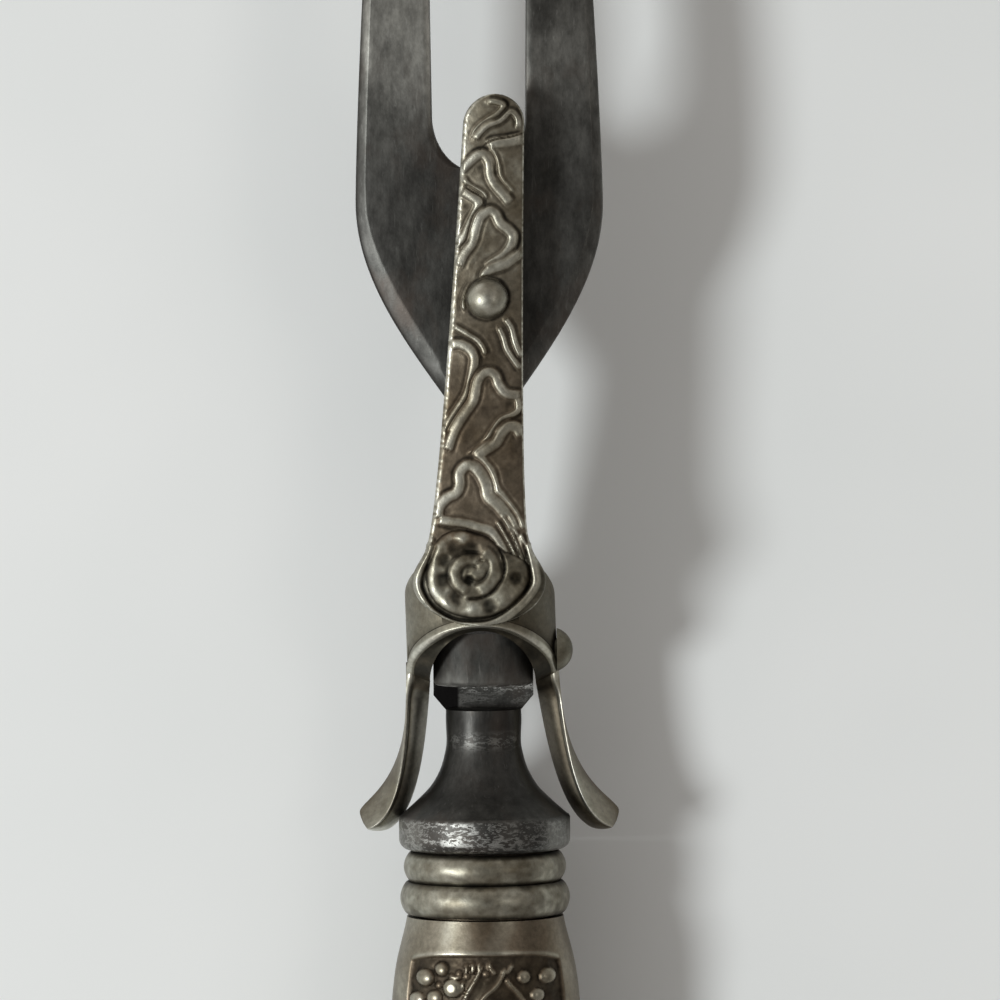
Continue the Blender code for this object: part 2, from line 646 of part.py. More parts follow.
def yoke_section(outer, inner, under, wall):
    """Loop of the yoke's bar: its worn rim, the face inside it, the underside and the outer wall."""
    across = inner - outer
    return [outer, outer + across * (RIM_WIDTH / across.length), inner, under, wall]


def arch_rings():
    """Right half of the arch, from its crown to the leg."""
    rings = []
    for angle in spread(math.pi / 2, 0.0, ARCH_ROWS)[:-1]:
        across, up = math.cos(angle), math.sin(angle)
        place = mix(-ARCH_FOOT, ARCH_CROWN, up)
        high, low = CHEEK_OUTER + RIM_PROUD, CHEEK_OUTER - RIM_PROUD
        outer = Vector((high * across, place, BARREL_CENTRE + high * up))
        wall = Vector((low * across, place + RIM_DEPTH, BARREL_CENTRE + low * up))
        inside = (CHEEK_INNER - REVEAL_PROUD) * across
        inner = Vector((inside, mix(-REVEAL_FOOT, REVEAL_CROWN, up), roof_height(inside, REVEAL_PROUD)))
        rings.append(yoke_section(outer, inner, inner + Vector((0.0, RIM_DEPTH, 0.0)), wall))
    return rings


def leg_rings():
    """Right leg, from the arch to its flared and rounded foot."""
    start, inside = (CHEEK_OUTER + RIM_PROUD, -ARCH_FOOT), (CHEEK_INNER - REVEAL_PROUD, -REVEAL_FOOT)
    paths = zip(sweep(start, (FOOT_RIM_SPAN / 2, -FOOT_RIM_SETBACK), RIM_PULLS, LEG_ROWS),
                sweep(inside, (FOOT_INNER_SPAN / 2, -FOOT_INNER_SETBACK), INNER_PULLS, LEG_ROWS),
                sweep(start, (FOOT_SPAN / 2, -FOOT_WALL_SETBACK), WALL_PULLS, LEG_ROWS))
    ahead = Vector((0.0, RIM_DEPTH, 0.0))
    rings = []
    for step, (rim, edge, flare) in enumerate(paths):
        share = step / (LEG_ROWS - 1)
        settle = smoothstep(share / LEG_SETTLE)
        outer = Vector((*rim, mix(BARREL_CENTRE, LEG_TOP, settle)))
        inner = Vector((*edge, mix(BARREL_CENTRE, LEG_LOW + LEG_EDGE, settle)))
        under = (inner + ahead).lerp(Vector((edge[0] + LEG_UNDERCUT, edge[1], LEG_LOW)), settle)
        wall = (outer + ahead).lerp(Vector((*flare, LEG_LOW)), settle)
        ring = yoke_section(outer, inner, under, wall)
        past = max((share - 1.0 + FOOT_ROUND) / FOOT_ROUND, 0.0)
        heart = sum(ring, Vector()) / len(ring)
        size = mix(FOOT_END, 1.0, math.sqrt(1.0 - past * past))
        rings.append([heart.lerp(corner, size) for corner in ring])
    return rings


def yoke_mesh():
    """Arch and both legs as one bar, from foot to foot."""
    right = arch_rings() + leg_rings()
    left = [[Vector((-corner.x, corner.y, corner.z)) for corner in ring] for ring in reversed(right[1:])]
    return loft(left + right, "guard_yoke")


def make_guard():
    silver = material("worn_nickel_silver", NICKEL_SILVER)
    guard = add_piece("guard", arm_mesh(), silver, GUARD_PIVOT)
    barrel = add_tool("saddle_barrel", barrel_mesh(), GUARD_PIVOT)
    boolean(barrel, add_tool("saddle_side", mouth_mesh(), GUARD_PIVOT), "INTERSECT")
    boolean(guard, barrel, "UNION")
    boolean(guard, add_tool("guard_yoke", yoke_mesh(), GUARD_PIVOT), "UNION")
    boolean(guard, pin_hole("cheek_pin_hole", GUARD_PIVOT), "DIFFERENCE")
    boolean(guard, rivet_hole("arm_rivet_hole"), "DIFFERENCE")


def rivet_hole(name):
    radius = RIVET_RADIUS + PIN_PLAY
    hole = add_tool(name, turn([(0.0, ARM_TOP + ARM_DEPTH), (radius, ARM_TOP + ARM_DEPTH),
                                (radius, -ARM_TOP), (0.0, -ARM_TOP)], name), GUARD_PIVOT)
    spin(hole, PIN_STEPS)
    hole.location = (arm_bend(RIVET_Y) * MM, RIVET_Y * MM, 0.0)
    return hole


def make_pin():
    """Hinge pin with a domed head on the right and a flush riveted end on the left."""
    seat = CHEEK_OUTER + SEAT_GAP / 2
    profile = dome(PIN_HEAD_RADIUS, PIN_HEAD_HEIGHT, seat)
    profile += [(PIN_RADIUS, seat), (PIN_RADIUS, -CHEEK_OUTER), (0.0, -CHEEK_OUTER)]
    silver = material("pin_metal", NICKEL_SILVER)
    pin = add_piece("hinge_pin", turn(profile, "hinge_pin"), silver, GUARD_PIVOT)
    spin(pin, PIN_STEPS)
    lay_across_fork(pin)


def spring_path():
    """Middle line of the spring: flat at the rivet, bowed down to the block, with an upturned tip."""
    seat = ARM_UNDERSIDE - SEAT_GAP - SPRING_DEPTH / 2
    bear = BLOCK_HALF + SEAT_GAP + SPRING_DEPTH / 2
    front = RIVET_Y + SPRING_SEAT
    contact = BLOCK_HALF + SPRING_BEARING
    turn_up = SPRING_TIP + SPRING_LIFT
    bow = sweep((RIVET_Y - SPRING_SEAT, seat), (contact, bear), SPRING_PULLS)
    tip = [(turn_up, bear), (SPRING_TIP, bear + SPRING_LIFT)]
    return [Vector(place) for place in [(front, seat), (RIVET_Y, seat)] + bow + tip]


def make_spring():
    """Leaf spring under the arm: it holds the guard folded or raised."""
    path = spring_path()
    half = SPRING_WIDTH / 2
    rings = []
    for step, place in enumerate(path):
        ahead = path[min(step + 1, len(path) - 1)] - path[max(step - 1, 0)]
        ahead.normalize()
        up = Vector((ahead.y, -ahead.x)) * (SPRING_DEPTH / 2)
        if up.y < 0.0:
            up = -up
        shift = arm_bend(place.x)
        over, under = place + up, place - up
        rings.append([(shift - half, over.x, over.y), (shift + half, over.x, over.y),
                      (shift + half, under.x, under.y), (shift - half, under.x, under.y)])
    steel = material("spring_steel", SPRING_STEEL)
    spring = add_piece("guard_spring", loft(rings, "guard_spring"), steel, GUARD_PIVOT)
    boolean(spring, rivet_hole("spring_rivet_hole"), "DIFFERENCE")


def make_rivet():
    """Round bead on the arm: the head of the rivet that holds the spring."""
    top = ARM_TOP + ARM_CROWN + SEAT_GAP / 2
    low = ARM_UNDERSIDE - 2 * SEAT_GAP - SPRING_DEPTH
    profile = dome(BEAD_RADIUS, BEAD_HEIGHT, top)
    profile += [(RIVET_RADIUS, top), (RIVET_RADIUS, low), (TAIL_RADIUS, low),
                (TAIL_END_RADIUS, low - TAIL_HEIGHT), (0.0, low - TAIL_HEIGHT)]
    silver = material("rivet_metal", NICKEL_SILVER)
    rivet = add_piece("spring_rivet", turn(profile, "spring_rivet"), silver, GUARD_PIVOT)
    spin(rivet, PIN_STEPS)
    rivet.location = (arm_bend(RIVET_Y) * MM, RIVET_Y * MM, 0.0)


# Ferrule and hollow handle

def make_ferrule():
    """Collar of two round beads between the bolster and the handle."""
    middle = FERRULE_FRONT - FRONT_BEAD_LENGTH
    profile = []
    beads = ((FERRULE_FRONT, middle, FRONT_BEAD_RADIUS), (middle, FERRULE_BACK, REAR_BEAD_RADIUS))
    for front, back, radius in beads:
        for share in spread(0.0, 1.0, BEAD_STEPS):
            bulge = max(math.sin(math.pi * share), 0.0) ** BEAD_FULLNESS
            profile.append((radius - BEAD_GROOVE * (1.0 - bulge), mix(front, back, share)))
    del profile[BEAD_STEPS]
    profile += [(FERRULE_BORE, FERRULE_BACK), (FERRULE_BORE, FERRULE_FRONT)]
    silver = material("ferrule_metal", NICKEL_SILVER)
    ferrule = add_piece("ferrule", turn(profile, "ferrule", closed=True), silver, FORK)
    spin(ferrule)
    lay_along_fork(ferrule)


def handle_rows(inset=0.0):
    """Places along the handle's body and its half width and half depth there, from mouth to butt."""
    cap_start = HANDLE_LENGTH - BUTT_CAP
    knots = [(0.0, HANDLE_MOUTH_WIDTH / 2), (HANDLE_SHOULDER, HANDLE_SHOULDER_WIDTH / 2),
             (HANDLE_SWELL, HANDLE_SWELL_WIDTH / 2), (HANDLE_LENGTH - HANDLE_WAIST, HANDLE_WAIST_WIDTH / 2),
             (cap_start, HANDLE_BUTT_WIDTH / 2)]
    places = spread(inset, cap_start, HANDLE_ROWS)
    rows = []
    for place, half in zip(places, spline(knots, places)):
        depth_share = mix(1.0, HANDLE_DEPTH_SHARE, smoothstep(place / FLAT_RUN))
        rows.append((HANDLE_FRONT - place, half - inset, half * depth_share - inset))
    start, half, depth = rows[-1]
    for angle in spread(0.0, math.pi / 2, ARC_STEPS + 1)[1:]:
        round_off = max(math.cos(angle), BUTT_FLAT)
        rows.append((start - (BUTT_CAP - inset) * math.sin(angle), half * round_off, depth * round_off))
    return rows


def socket_rows(inset=0.0):
    """The narrow neck inside the ferrule, then the handle's body."""
    radius = SOCKET_RADIUS - inset
    return [(FERRULE_FRONT, radius, radius), (HANDLE_FRONT - inset, radius, radius)] + handle_rows(inset)


def make_shell(name, side):
    """Stamped half of the hollow handle, open at the seam."""
    seam = SEAT_GAP / 2
    rings = []
    for y, half, depth in socket_rows():
        arc = spread(0.0, math.pi, ROUND_STEPS // 2 + 1)
        rings.append([(half * math.cos(angle), y, side * (seam + (depth - seam) * math.sin(angle)))
                      for angle in arc])
    mesh = loft(rings, name, closed=False, capped=False)
    face = mesh.polygons[len(mesh.polygons) // 2]
    if face.normal.z * side < 0.0:
        mesh.flip_normals()
    shell = add_piece(name, mesh, material(name + "_metal", NICKEL_SILVER), FORK)
    wall = shell.modifiers.new("Wall", "SOLIDIFY")
    wall.thickness = SHELL_WALL * MM
    wall.offset = -1.0
    wall.use_even_offset = True


def make_filler():
    """Cement core that fills the handle and grips the tang."""
    rings = []
    for y, half, depth in socket_rows(SHELL_WALL + SEAT_GAP):
        rings.append([(half * math.cos(angle), y, depth * math.sin(angle))
                      for angle in spread(0.0, 2 * math.pi, ROUND_STEPS // 2 + 1)[:-1]])
    filler = add_piece("handle_filler", loft(rings, "handle_filler"), material("cement", CEMENT, 0.0), FORK)
    tang_end = BOLSTER_BACK - TANG_LENGTH - SEAT_GAP
    radius, mouth = TANG_RADIUS + SEAT_GAP, BOLSTER_BACK + SEAT_GAP
    profile = [(0.0, mouth), (radius, mouth), (radius, BOLSTER_BACK), (TANG_END_RADIUS + SEAT_GAP, tang_end),
               (0.0, tang_end)]
    hole = add_tool("tang_hole", turn(profile, "tang_hole"), FORK)
    spin(hole)
    lay_along_fork(hole)
    boolean(filler, hole, "DIFFERENCE")


# Assembly

def outline_points():
    """Every corner of every piece, in the world, as modelled."""
    bpy.context.view_layer.update()
    graph = bpy.context.evaluated_depsgraph_get()
    points = []
    for piece in PARTS.objects:
        if piece.type == "MESH":
            shown = piece.evaluated_get(graph)
            points += [shown.matrix_world @ vertex.co for vertex in shown.data.vertices]
    return points


def lay_down():
    """Rest the fork on its tine tips and its handle, centred over the origin."""
    for _ in range(SETTLE_STEPS):
        points = outline_points()
        front = min((p for p in points if p.y > FORK.location.y), key=lambda p: p.z)
        back = min((p for p in points if p.y < FORK.location.y), key=lambda p: p.z)
        FORK.rotation_euler.x -= math.atan2(front.z - back.z, front.y - back.y)
    points = outline_points()
    FORK.location.x -= (min(p.x for p in points) + max(p.x for p in points)) / 2
    FORK.location.y -= (min(p.y for p in points) + max(p.y for p in points)) / 2
    FORK.location.z -= min(p.z for p in points)
    bpy.context.view_layer.update()


for leftover in list(bpy.data.objects):
    bpy.data.objects.remove(leftover, do_unlink=True)

PARTS = bpy.data.collections.new("carving_fork")
TOOLS = bpy.data.collections.new("carving_fork_tools")
bpy.context.scene.collection.children.link(PARTS)
bpy.context.scene.collection.children.link(TOOLS)
FORK = add_object("fork_frame", None, PARTS, None)
GUARD_PIVOT = add_object("guard_pivot", None, PARTS, FORK)
GUARD_PIVOT.location.z = PIN_RISE * MM

make_forging()
make_guard()
make_pin()
make_spring()
make_rivet()
make_ferrule()
make_shell("handle_front_shell", 1)
make_shell("handle_back_shell", -1)
make_filler()
lay_down()
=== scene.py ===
"""Looks of the carving fork: tarnished steel and worn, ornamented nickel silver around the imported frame.

Shapes are drawn in millimetres about the guard's pin: +Y to the tine tips, +Z to the convex side.
PLACE then takes them into the frame, in metres. Ornament is drawn in pixels of the photograph.
"""
import json
import math

import bmesh
import bpy
import numpy as np
from mathutils import Matrix, Vector


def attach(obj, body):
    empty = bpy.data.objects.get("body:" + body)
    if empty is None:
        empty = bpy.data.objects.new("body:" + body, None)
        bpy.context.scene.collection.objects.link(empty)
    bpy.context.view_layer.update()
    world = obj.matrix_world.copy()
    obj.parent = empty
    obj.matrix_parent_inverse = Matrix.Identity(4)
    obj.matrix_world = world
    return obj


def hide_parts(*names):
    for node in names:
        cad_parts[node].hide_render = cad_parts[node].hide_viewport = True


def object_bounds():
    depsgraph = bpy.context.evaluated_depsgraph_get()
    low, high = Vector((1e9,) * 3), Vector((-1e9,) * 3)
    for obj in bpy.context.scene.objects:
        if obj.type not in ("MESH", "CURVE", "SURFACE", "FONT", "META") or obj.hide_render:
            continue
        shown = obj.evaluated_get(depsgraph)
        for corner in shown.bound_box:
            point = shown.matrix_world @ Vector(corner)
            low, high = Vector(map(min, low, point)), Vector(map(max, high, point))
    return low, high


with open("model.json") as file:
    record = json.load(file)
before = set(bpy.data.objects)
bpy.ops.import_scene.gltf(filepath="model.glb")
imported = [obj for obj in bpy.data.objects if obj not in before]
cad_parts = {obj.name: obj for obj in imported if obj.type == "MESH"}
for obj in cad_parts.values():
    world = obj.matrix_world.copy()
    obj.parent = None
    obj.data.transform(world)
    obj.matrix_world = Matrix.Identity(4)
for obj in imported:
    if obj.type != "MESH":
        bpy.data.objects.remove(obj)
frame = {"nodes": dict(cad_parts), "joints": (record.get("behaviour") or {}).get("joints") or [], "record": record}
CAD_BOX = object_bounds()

# Frame: the pin's place and the fork's tilt on the table
MM = 0.001
PIVOT = Vector(frame["joints"][0]["pos_m"])
PALM_AXIS = frame["record"]["mounts"][0]["axis"]
TILT = math.atan2(PALM_AXIS[1], -PALM_AXIS[2])
PLACE = Matrix.Translation(PIVOT) @ Matrix.Rotation(TILT, 4, "X") @ Matrix.Scale(MM, 4)

# Photograph: its scale and where the fork lies in it
PX_PER_MM = 8.0
ARM_PX_PER_MM = 8.07      # the arm is nearer to the camera
IMAGE_CENTRE = 500.0
PIN_ROW = 650.0
AXIS_COLUMN = 481.8       # fork's middle line at the centre of the image
CAMERA_ROLL = 0.47        # degrees, the tines lean left
CAMERA_HEIGHT = 1.05
FRAME_WIDTH = 2 * IMAGE_CENTRE / PX_PER_MM * MM

# Sizes of the solids, but the feet flare a little wider and end finer here
PIN_RISE = 2.2
SHANK_LENGTH = 31.2
SHANK_WIDTH = 8.2
SHANK_DEPTH = 5.6
SHANK_RISE = 3.8
PALM_LENGTH = 28.55
PALM_RISE = 6.0
PALM_DEPTH = 4.4
SHOULDER_WIDTH = 30.8
SHOULDER_RUN = 24.8
TINE_LENGTH = 95.0
TINE_DROP = 27.0
TINE_BOW = 1.3
TIP_SPREAD = 18.8
TIP_WIDTH = 2.6
TIP_DEPTH = 2.2
POINT_LENGTH = 7.0
POINT_SIZE = 0.8
POINT_FULLNESS = 0.7
CROTCH_GAP = 11.6
CROTCH_ROUND = 7.0
INNER_BEVEL = 0.5
BACK_BEVEL = 0.6
BEVEL_SLOPE = 0.65
BLOCK_WIDTH = 12.5
BLOCK_HALF = 4.4
BLOCK_CORNER = 1.2
BLOCK_SHOULDER = 5.0
BLOCK_DEPTH_BELOW = 7.0
LEDGE_LENGTH = 2.9
LEDGE_DROP = 2.0
NECK_RADIUS = 4.7
NECK_LENGTH = 13.3
BOLSTER_RADIUS = 10.75
BOLSTER_LENGTH = 4.4
BOLSTER_ROUND = 1.3
FERRULE_LENGTH = 7.8
FRONT_BEAD_LENGTH = 3.75
FRONT_BEAD_RADIUS = 10.2
REAR_BEAD_RADIUS = 10.65
BEAD_GROOVE = 0.9
FERRULE_BORE = 8.5
SEAT_GAP = 0.3
HANDLE_LENGTH = 110.0
BUTT_CAP = 7.7
SHELL_WALL = 0.7
ARM_TIP = 69.4
ARM_TIP_WIDTH = 7.4
ARM_ROOT_WIDTH = 13.0
ARM_DEPTH = 2.0
ARM_EDGE = 0.5
ARM_CROWN = 0.35
ARM_TAPER = 0.5
FAN_WIDTH = 16.6
FAN_CENTRE = 9.2
FAN_RUN = 4.5
FAN_DROOP = 0.5
SADDLE_FRONT = 13.0
CHEEK_OUTER = 9.375
CHEEK_INNER = 6.65
CHEEK_DROP = 6.0
CHEEK_BACK = 4.6
ROOF_TOP = 8.676
ROOF_UNDERSIDE = 6.476
ROOF_FULLNESS = 4.0
ARCH_CROWN = 3.6
ARCH_FOOT = 2.7
REVEAL_CROWN = 2.75
REVEAL_FOOT = 4.0
RIM_DEPTH = 1.2
RIM_PROUD = 0.15
REVEAL_PROUD = 0.05
LEG_TOP = -1.2
LEG_LOW = -5.8
LEG_EDGE = 0.8
LEG_UNDERCUT = 0.3
LEG_SETTLE = 0.13
FOOT_ROUND = 0.15
FOOT_END = 0.25
FOOT_RIM = (15.5, -22.4)
FOOT_INNER = (14.7, -23.1)
FOOT_WALL = (16.5, -21.4)
RIM_PULLS = ((0.10, 0.50), (0.24, 0.93))
INNER_PULLS = ((0.12, 0.42), (0.30, 1.02))
WALL_PULLS = ((0.0, 0.85), (1.05, 0.85))
RIVET_Y = 44.1
BEAD_RADIUS = 2.6
BEAD_HEIGHT = 1.7
PIN_HEAD_RADIUS = 2.7
PIN_HEAD_HEIGHT = 2.0

# Places that follow
CROTCH_Y = SHANK_LENGTH + PALM_LENGTH
SHOULDER_Y = SHANK_LENGTH + SHOULDER_RUN
TIP_Y = CROTCH_Y + TINE_LENGTH
LEDGE_END = -(BLOCK_HALF + LEDGE_LENGTH)
BOLSTER_FRONT = LEDGE_END - NECK_LENGTH
BOLSTER_BACK = BOLSTER_FRONT - BOLSTER_LENGTH
FERRULE_FRONT = BOLSTER_BACK - SEAT_GAP
FERRULE_BACK = FERRULE_FRONT - FERRULE_LENGTH
HANDLE_FRONT = FERRULE_BACK - SEAT_GAP
AXIS_Z = -PIN_RISE
ARM_TOP = ROOF_TOP + ARM_EDGE
ARM_UNDERSIDE = ARM_TOP - ARM_DEPTH
BARREL_CENTRE = ROOF_TOP - CHEEK_OUTER
MIRRORED = np.array([-1.0, 1.0, 1.0])


def smoothstep(value):
    value = np.clip(value, 0.0, 1.0)
    return value * value * (3.0 - 2.0 * value)


def onset(value, start, run):
    """Smooth step from 0 at a start to 1 a run later. A negative run turns it round."""
    return smoothstep((value - start) / run)


def mix(first, second, share):
    return first + (second - first) * share


def hump(distance, width):
    """Bell from 1 at no distance to nothing a few widths away."""
    return np.exp(-(distance / width) ** 2)


def curve_through(points, step=0.12):
    """Points every step along a smooth curve through a few given ones."""
    points = np.asarray(points, float)
    padded = np.vstack([2 * points[0] - points[1], points, 2 * points[-1] - points[-2]])
    made = []
    for p0, p1, p2, p3 in zip(padded, padded[1:], padded[2:], padded[3:]):
        count = max(int(np.linalg.norm(p2 - p1) / step), 2)
        t = np.linspace(0.0, 1.0, count, endpoint=False)[:, None]
        made.append(0.5 * (2 * p1 + (p2 - p0) * t + (2 * p0 - 5 * p1 + 4 * p2 - p3) * t ** 2
                           + (3 * p1 - p0 - 3 * p2 + p3) * t ** 3))
    return np.vstack(made + [points[-1:]])


def along(knots, place):
    """Smooth values at places on a curve through knots of place and value."""
    dense = curve_through(knots, step=0.05)
    order = np.argsort(dense[:, 0])
    return np.interp(place, dense[order, 0], dense[order, 1])


def sweep(start, end, pulls, count):
    """Cubic curve between two places with its pull points given as shares of its run and rise."""
    start, end = np.array(start), np.array(end)
    first, second = (mix(start, end, np.array(pull)) for pull in pulls)
    t = np.linspace(0.0, 1.0, count)[:, None]
    rest = 1.0 - t
    return start * rest ** 3 + first * 3 * rest ** 2 * t + second * 3 * rest * t ** 2 + end * t ** 3


HASH_PRIMES = (73856093, 19349663, 83492791)
HASH_SEED = 2654435761
HASH_ROUNDS = ((15, 2246822519), (13, 3266489917))     # shift and factor
HASH_TOP = 0xFFFFFFFF


def value_noise(points, size, seed):
    """Smooth noise from -1 to 1 on points of two or three coordinates, with features of a size."""
    points = np.asarray(points, float) / size
    cell = np.floor(points).astype(np.int64)
    part = smoothstep(points - cell)
    total = np.zeros(points.shape[:-1])
    dims = points.shape[-1]
    for corner in range(2 ** dims):
        offset = np.array([(corner >> axis) & 1 for axis in range(dims)])
        key = (cell + offset) * np.array(HASH_PRIMES[:dims])
        lattice = (np.sum(key, -1) + seed * HASH_SEED) & HASH_TOP
        for shift, factor in HASH_ROUNDS:
            lattice = ((lattice ^ (lattice >> shift)) * factor) & HASH_TOP
        weight = np.prod(np.where(offset == 1, part, 1.0 - part), -1)
        total += weight * (lattice / HASH_TOP * 2.0 - 1.0)
    return total


def specks(points, *layers):
    """Sum of noises, each with a level, a size and a seed."""
    return sum(level * value_noise(points, size, seed) for level, size, seed in layers)


def gap_to(points, spot):
    """Distance of points from a spot."""
    return np.linalg.norm(points - np.asarray(spot, float), axis=-1)


def quarter_round(radius, steps):
    """Insets along and across a rounded edge, from one face to the other."""
    return [(radius * (1 - math.sin(a)), radius * (1 - math.cos(a)))
            for a in np.linspace(0.0, math.pi / 2, steps)]


# Meshes

WELD_DISTANCE = 0.0001 * MM


def add_object(name, data):
    made = bpy.data.objects.new(name, data)
    bpy.context.scene.collection.objects.link(made)
    return made


def point_grid(rows, count):
    """Numbers of points that lie in rows."""
    return np.arange(rows * count).reshape(rows, count)


def quads(index):
    """Faces between the neighbouring rows and columns of a grid of point numbers."""
    corners = [index[:-1, :-1], index[:-1, 1:], index[1:, 1:], index[1:, :-1]]
    return np.stack(corners, -1).reshape(-1, 4).tolist()


def tube_faces(rows, count):
    """Quads over rings of the same count, with both ends closed."""
    index = point_grid(rows, count)
    sides = quads(np.pad(index, ((0, 0), (0, 1)), mode="wrap"))
    return sides + [index[0][::-1].tolist(), index[-1].tolist()]


def new_object(name, points, faces, values=None):
    """An object in the frame from points in millimetres, welded, with its faces pointing out."""
    mesh = bpy.data.meshes.new(name)
    mesh.from_pydata(np.asarray(points, float).reshape(-1, 3).tolist(), [], faces)
    for label, numbers in (values or {}).items():
        layer = mesh.attributes.new(label, "FLOAT", "POINT")
        layer.data.foreach_set("value", np.asarray(numbers, np.float32).ravel())
    mesh.transform(PLACE)
    bm = bmesh.new()
    bm.from_mesh(mesh)
    bmesh.ops.remove_doubles(bm, verts=bm.verts, dist=WELD_DISTANCE)
    bmesh.ops.recalc_face_normals(bm, faces=bm.faces)
    bm.to_mesh(mesh)
    bm.free()
    return add_object(name, mesh)


def loft(name, rings, values=None):
    rings = np.asarray(rings, float)
    return new_object(name, rings, tube_faces(*rings.shape[:2]), values)


def turned(profile, steps, axis="Y", centre=(0.0, AXIS_Z), dents=None):
    """Rings of a profile of radius and place about an axis, with dents of a depth, size and seed."""
    profile = np.asarray(profile, float)
    angle = np.linspace(0.0, 2 * math.pi, steps, endpoint=False)
    radius = np.repeat(profile[:, :1], steps, 1)
    place = np.repeat(profile[:, 1:], steps, 1)
    if dents:
        depth, size, seed = dents
        spots = np.stack([np.cos(angle) * radius, np.sin(angle) * radius, place], -1)
        radius = radius + depth * value_noise(spots, size, seed) * np.minimum(radius, 1.0)
    first, second = radius * np.cos(angle) + centre[0], radius * np.sin(angle) + centre[1]
    order = {"X": (place, first, second), "Y": (first, place, second), "Z": (first, second, place)}
    return np.stack(order[axis], -1)


def join(piece, tools):
    """Fuse closed shapes into one closed mesh, and remove the tools."""
    for tool in tools:
        change = piece.modifiers.new(tool.name, "BOOLEAN")
        change.operation = "UNION"
        change.object = tool
        change.solver = "MANIFOLD"
    graph = bpy.context.evaluated_depsgraph_get()
    mesh = bpy.data.meshes.new_from_object(piece.evaluated_get(graph))
    piece.modifiers.clear()
    piece.data = mesh
    for tool in tools:
        bpy.data.objects.remove(tool, do_unlink=True)
    return piece


def local_points(piece):
    """A piece's points in millimetres about the pin."""
    back = PLACE.inverted()
    return np.array([back @ vertex.co for vertex in piece.data.vertices])


def mark(piece, label, numbers):
    """Store a value from 0 to 1 on each point, for the material."""
    layer = piece.data.attributes.new(label, "FLOAT", "POINT")
    levels = np.full(len(piece.data.vertices), np.clip(numbers, 0.0, 1.0), np.float32)
    layer.data.foreach_set("value", levels)


def dress(piece, finish, body, slot, *nodes, sharp=35.0):
    """Shade a piece, give it its finish, tie it to its body, and hide the solids it stands for."""
    piece.data.shade_smooth()
    piece.data.set_sharp_from_angle(angle=math.radians(sharp))
    piece.data.materials.clear()
    piece.data.materials.append(finish)
    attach(piece, body)
    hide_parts(*nodes)
    return piece


# Materials

MIX_INPUTS = (0, 6, 7)    # sockets of a colour mix: share, first, second
MIX_RESULT = 2


class Wiring:
    """Short ways to wire the nodes of a material or of the world."""

    def __init__(self, owner):
        owner.use_nodes = True
        self.tree = owner.node_tree

    def feed(self, socket, value):
        """Link a socket to another one, or set its constant."""
        if isinstance(value, bpy.types.NodeSocket):
            self.tree.links.new(value, socket)
        else:
            socket.default_value = value

    def node(self, kind, **inputs):
        """A new node with its inputs fed, where an underscore stands for a space."""
        node = self.tree.nodes.new("ShaderNode" + kind)
        for label, value in inputs.items():
            self.feed(node.inputs[label.replace("_", " ")], value)
        return node

    def ramp(self, source, *stops):
        """Colours or grey levels at places along a source from 0 to 1."""
        ramp = self.node("ValToRGB", Fac=source)
        band = ramp.color_ramp
        while len(band.elements) < len(stops):
            band.elements.new(0.5)
        for element, (place, colour) in zip(band.elements, stops):
            element.position = place
            colour = colour if isinstance(colour, tuple) else (colour,) * 3
            element.color = (*colour, 1.0)
        return ramp.outputs["Color"]

    def blend(self, share, first, second, kind="MIX"):
        """Mix two colours, or multiply the first by the second."""
        mixer = self.node("Mix")
        mixer.data_type = "RGBA"
        mixer.blend_type = kind
        for number, value in zip(MIX_INPUTS, (share, first, second)):
            value = (*value, 1.0) if isinstance(value, tuple) else value
            self.feed(mixer.inputs[number], value)
        return mixer.outputs[MIX_RESULT]

    def shade(self, base, source, *stops):
        """Darken and lighten a colour by the levels along a source."""
        return self.blend(1.0, base, self.ramp(source, *stops), "MULTIPLY")

    def stain(self, base, colour, source, *stops):
        """Lay a colour over another as thickly as the levels along a source say."""
        return self.blend(self.ramp(source, *stops), base, colour)


class Finish(Wiring):
    """A Principled material with textures that lie in the object's space."""

    def __init__(self, name, metallic, roughness):
        self.made = bpy.data.materials.new(name)
        super().__init__(self.made)
        self.shader = self.tree.nodes["Principled BSDF"]
        self.feed(self.shader.inputs["Metallic"], metallic)
        self.roughness(roughness)
        self.place = self.node("TexCoord").outputs["Object"]

    def noise(self, size, detail=3.0, stretch=(1.0, 1.0, 1.0), rough=0.55):
        """Noise with features of a size in millimetres, drawn out along an axis by stretch."""
        scale = [1.0 / (size * MM * share) for share in stretch]
        mapping = self.node("Mapping", Scale=scale, Vector=self.place)
        texture = self.node("TexNoise", Scale=1.0, Detail=detail, Roughness=rough,
                            Vector=mapping.outputs["Vector"])
        return texture.outputs["Fac"]

    def attribute(self, label):
        node = self.node("Attribute")
        node.attribute_name = label
        return node.outputs["Fac"]

    def colour(self, source):
        self.feed(self.shader.inputs["Base Color"], source)

    def roughness(self, source):
        self.feed(self.shader.inputs["Roughness"], source)

    def bump(self, source, depth, strength):
        """Fine texture of a depth in millimetres."""
        node = self.node("Bump", Distance=depth * MM, Strength=strength, Height=source)
        self.feed(self.shader.inputs["Normal"], node.outputs["Normal"])


STEEL_TONES = ((0.0, (0.070, 0.069, 0.064)), (0.5, (0.165, 0.163, 0.150)), (1.0, (0.32, 0.317, 0.290)))
SCUFF_GREY = (0.40, 0.40, 0.375)
RUST_BROWN = (0.074, 0.058, 0.048)
STREAK_GREY = (0.30, 0.30, 0.28)
# pale plating, also the painted highlight on the block's back edge
PLATING_AND_HIGHLIGHT_GREY = (0.56, 0.56, 0.53)
CHIP_LEVELS = ((0.40, 0.0), (0.42, 1.0), (0.46, 0.6), (0.49, 0.05), (0.56, 0.05), (0.575, 1.0), (0.60, 0.2),
               (0.64, 0.0))
# darkening, and painted shade on the step and the left bevel
DARKENING_AND_SHADE_BLACK = (0.014, 0.013, 0.013)
DULL_ROUGHNESS = (0.72, 0.72, 0.72)


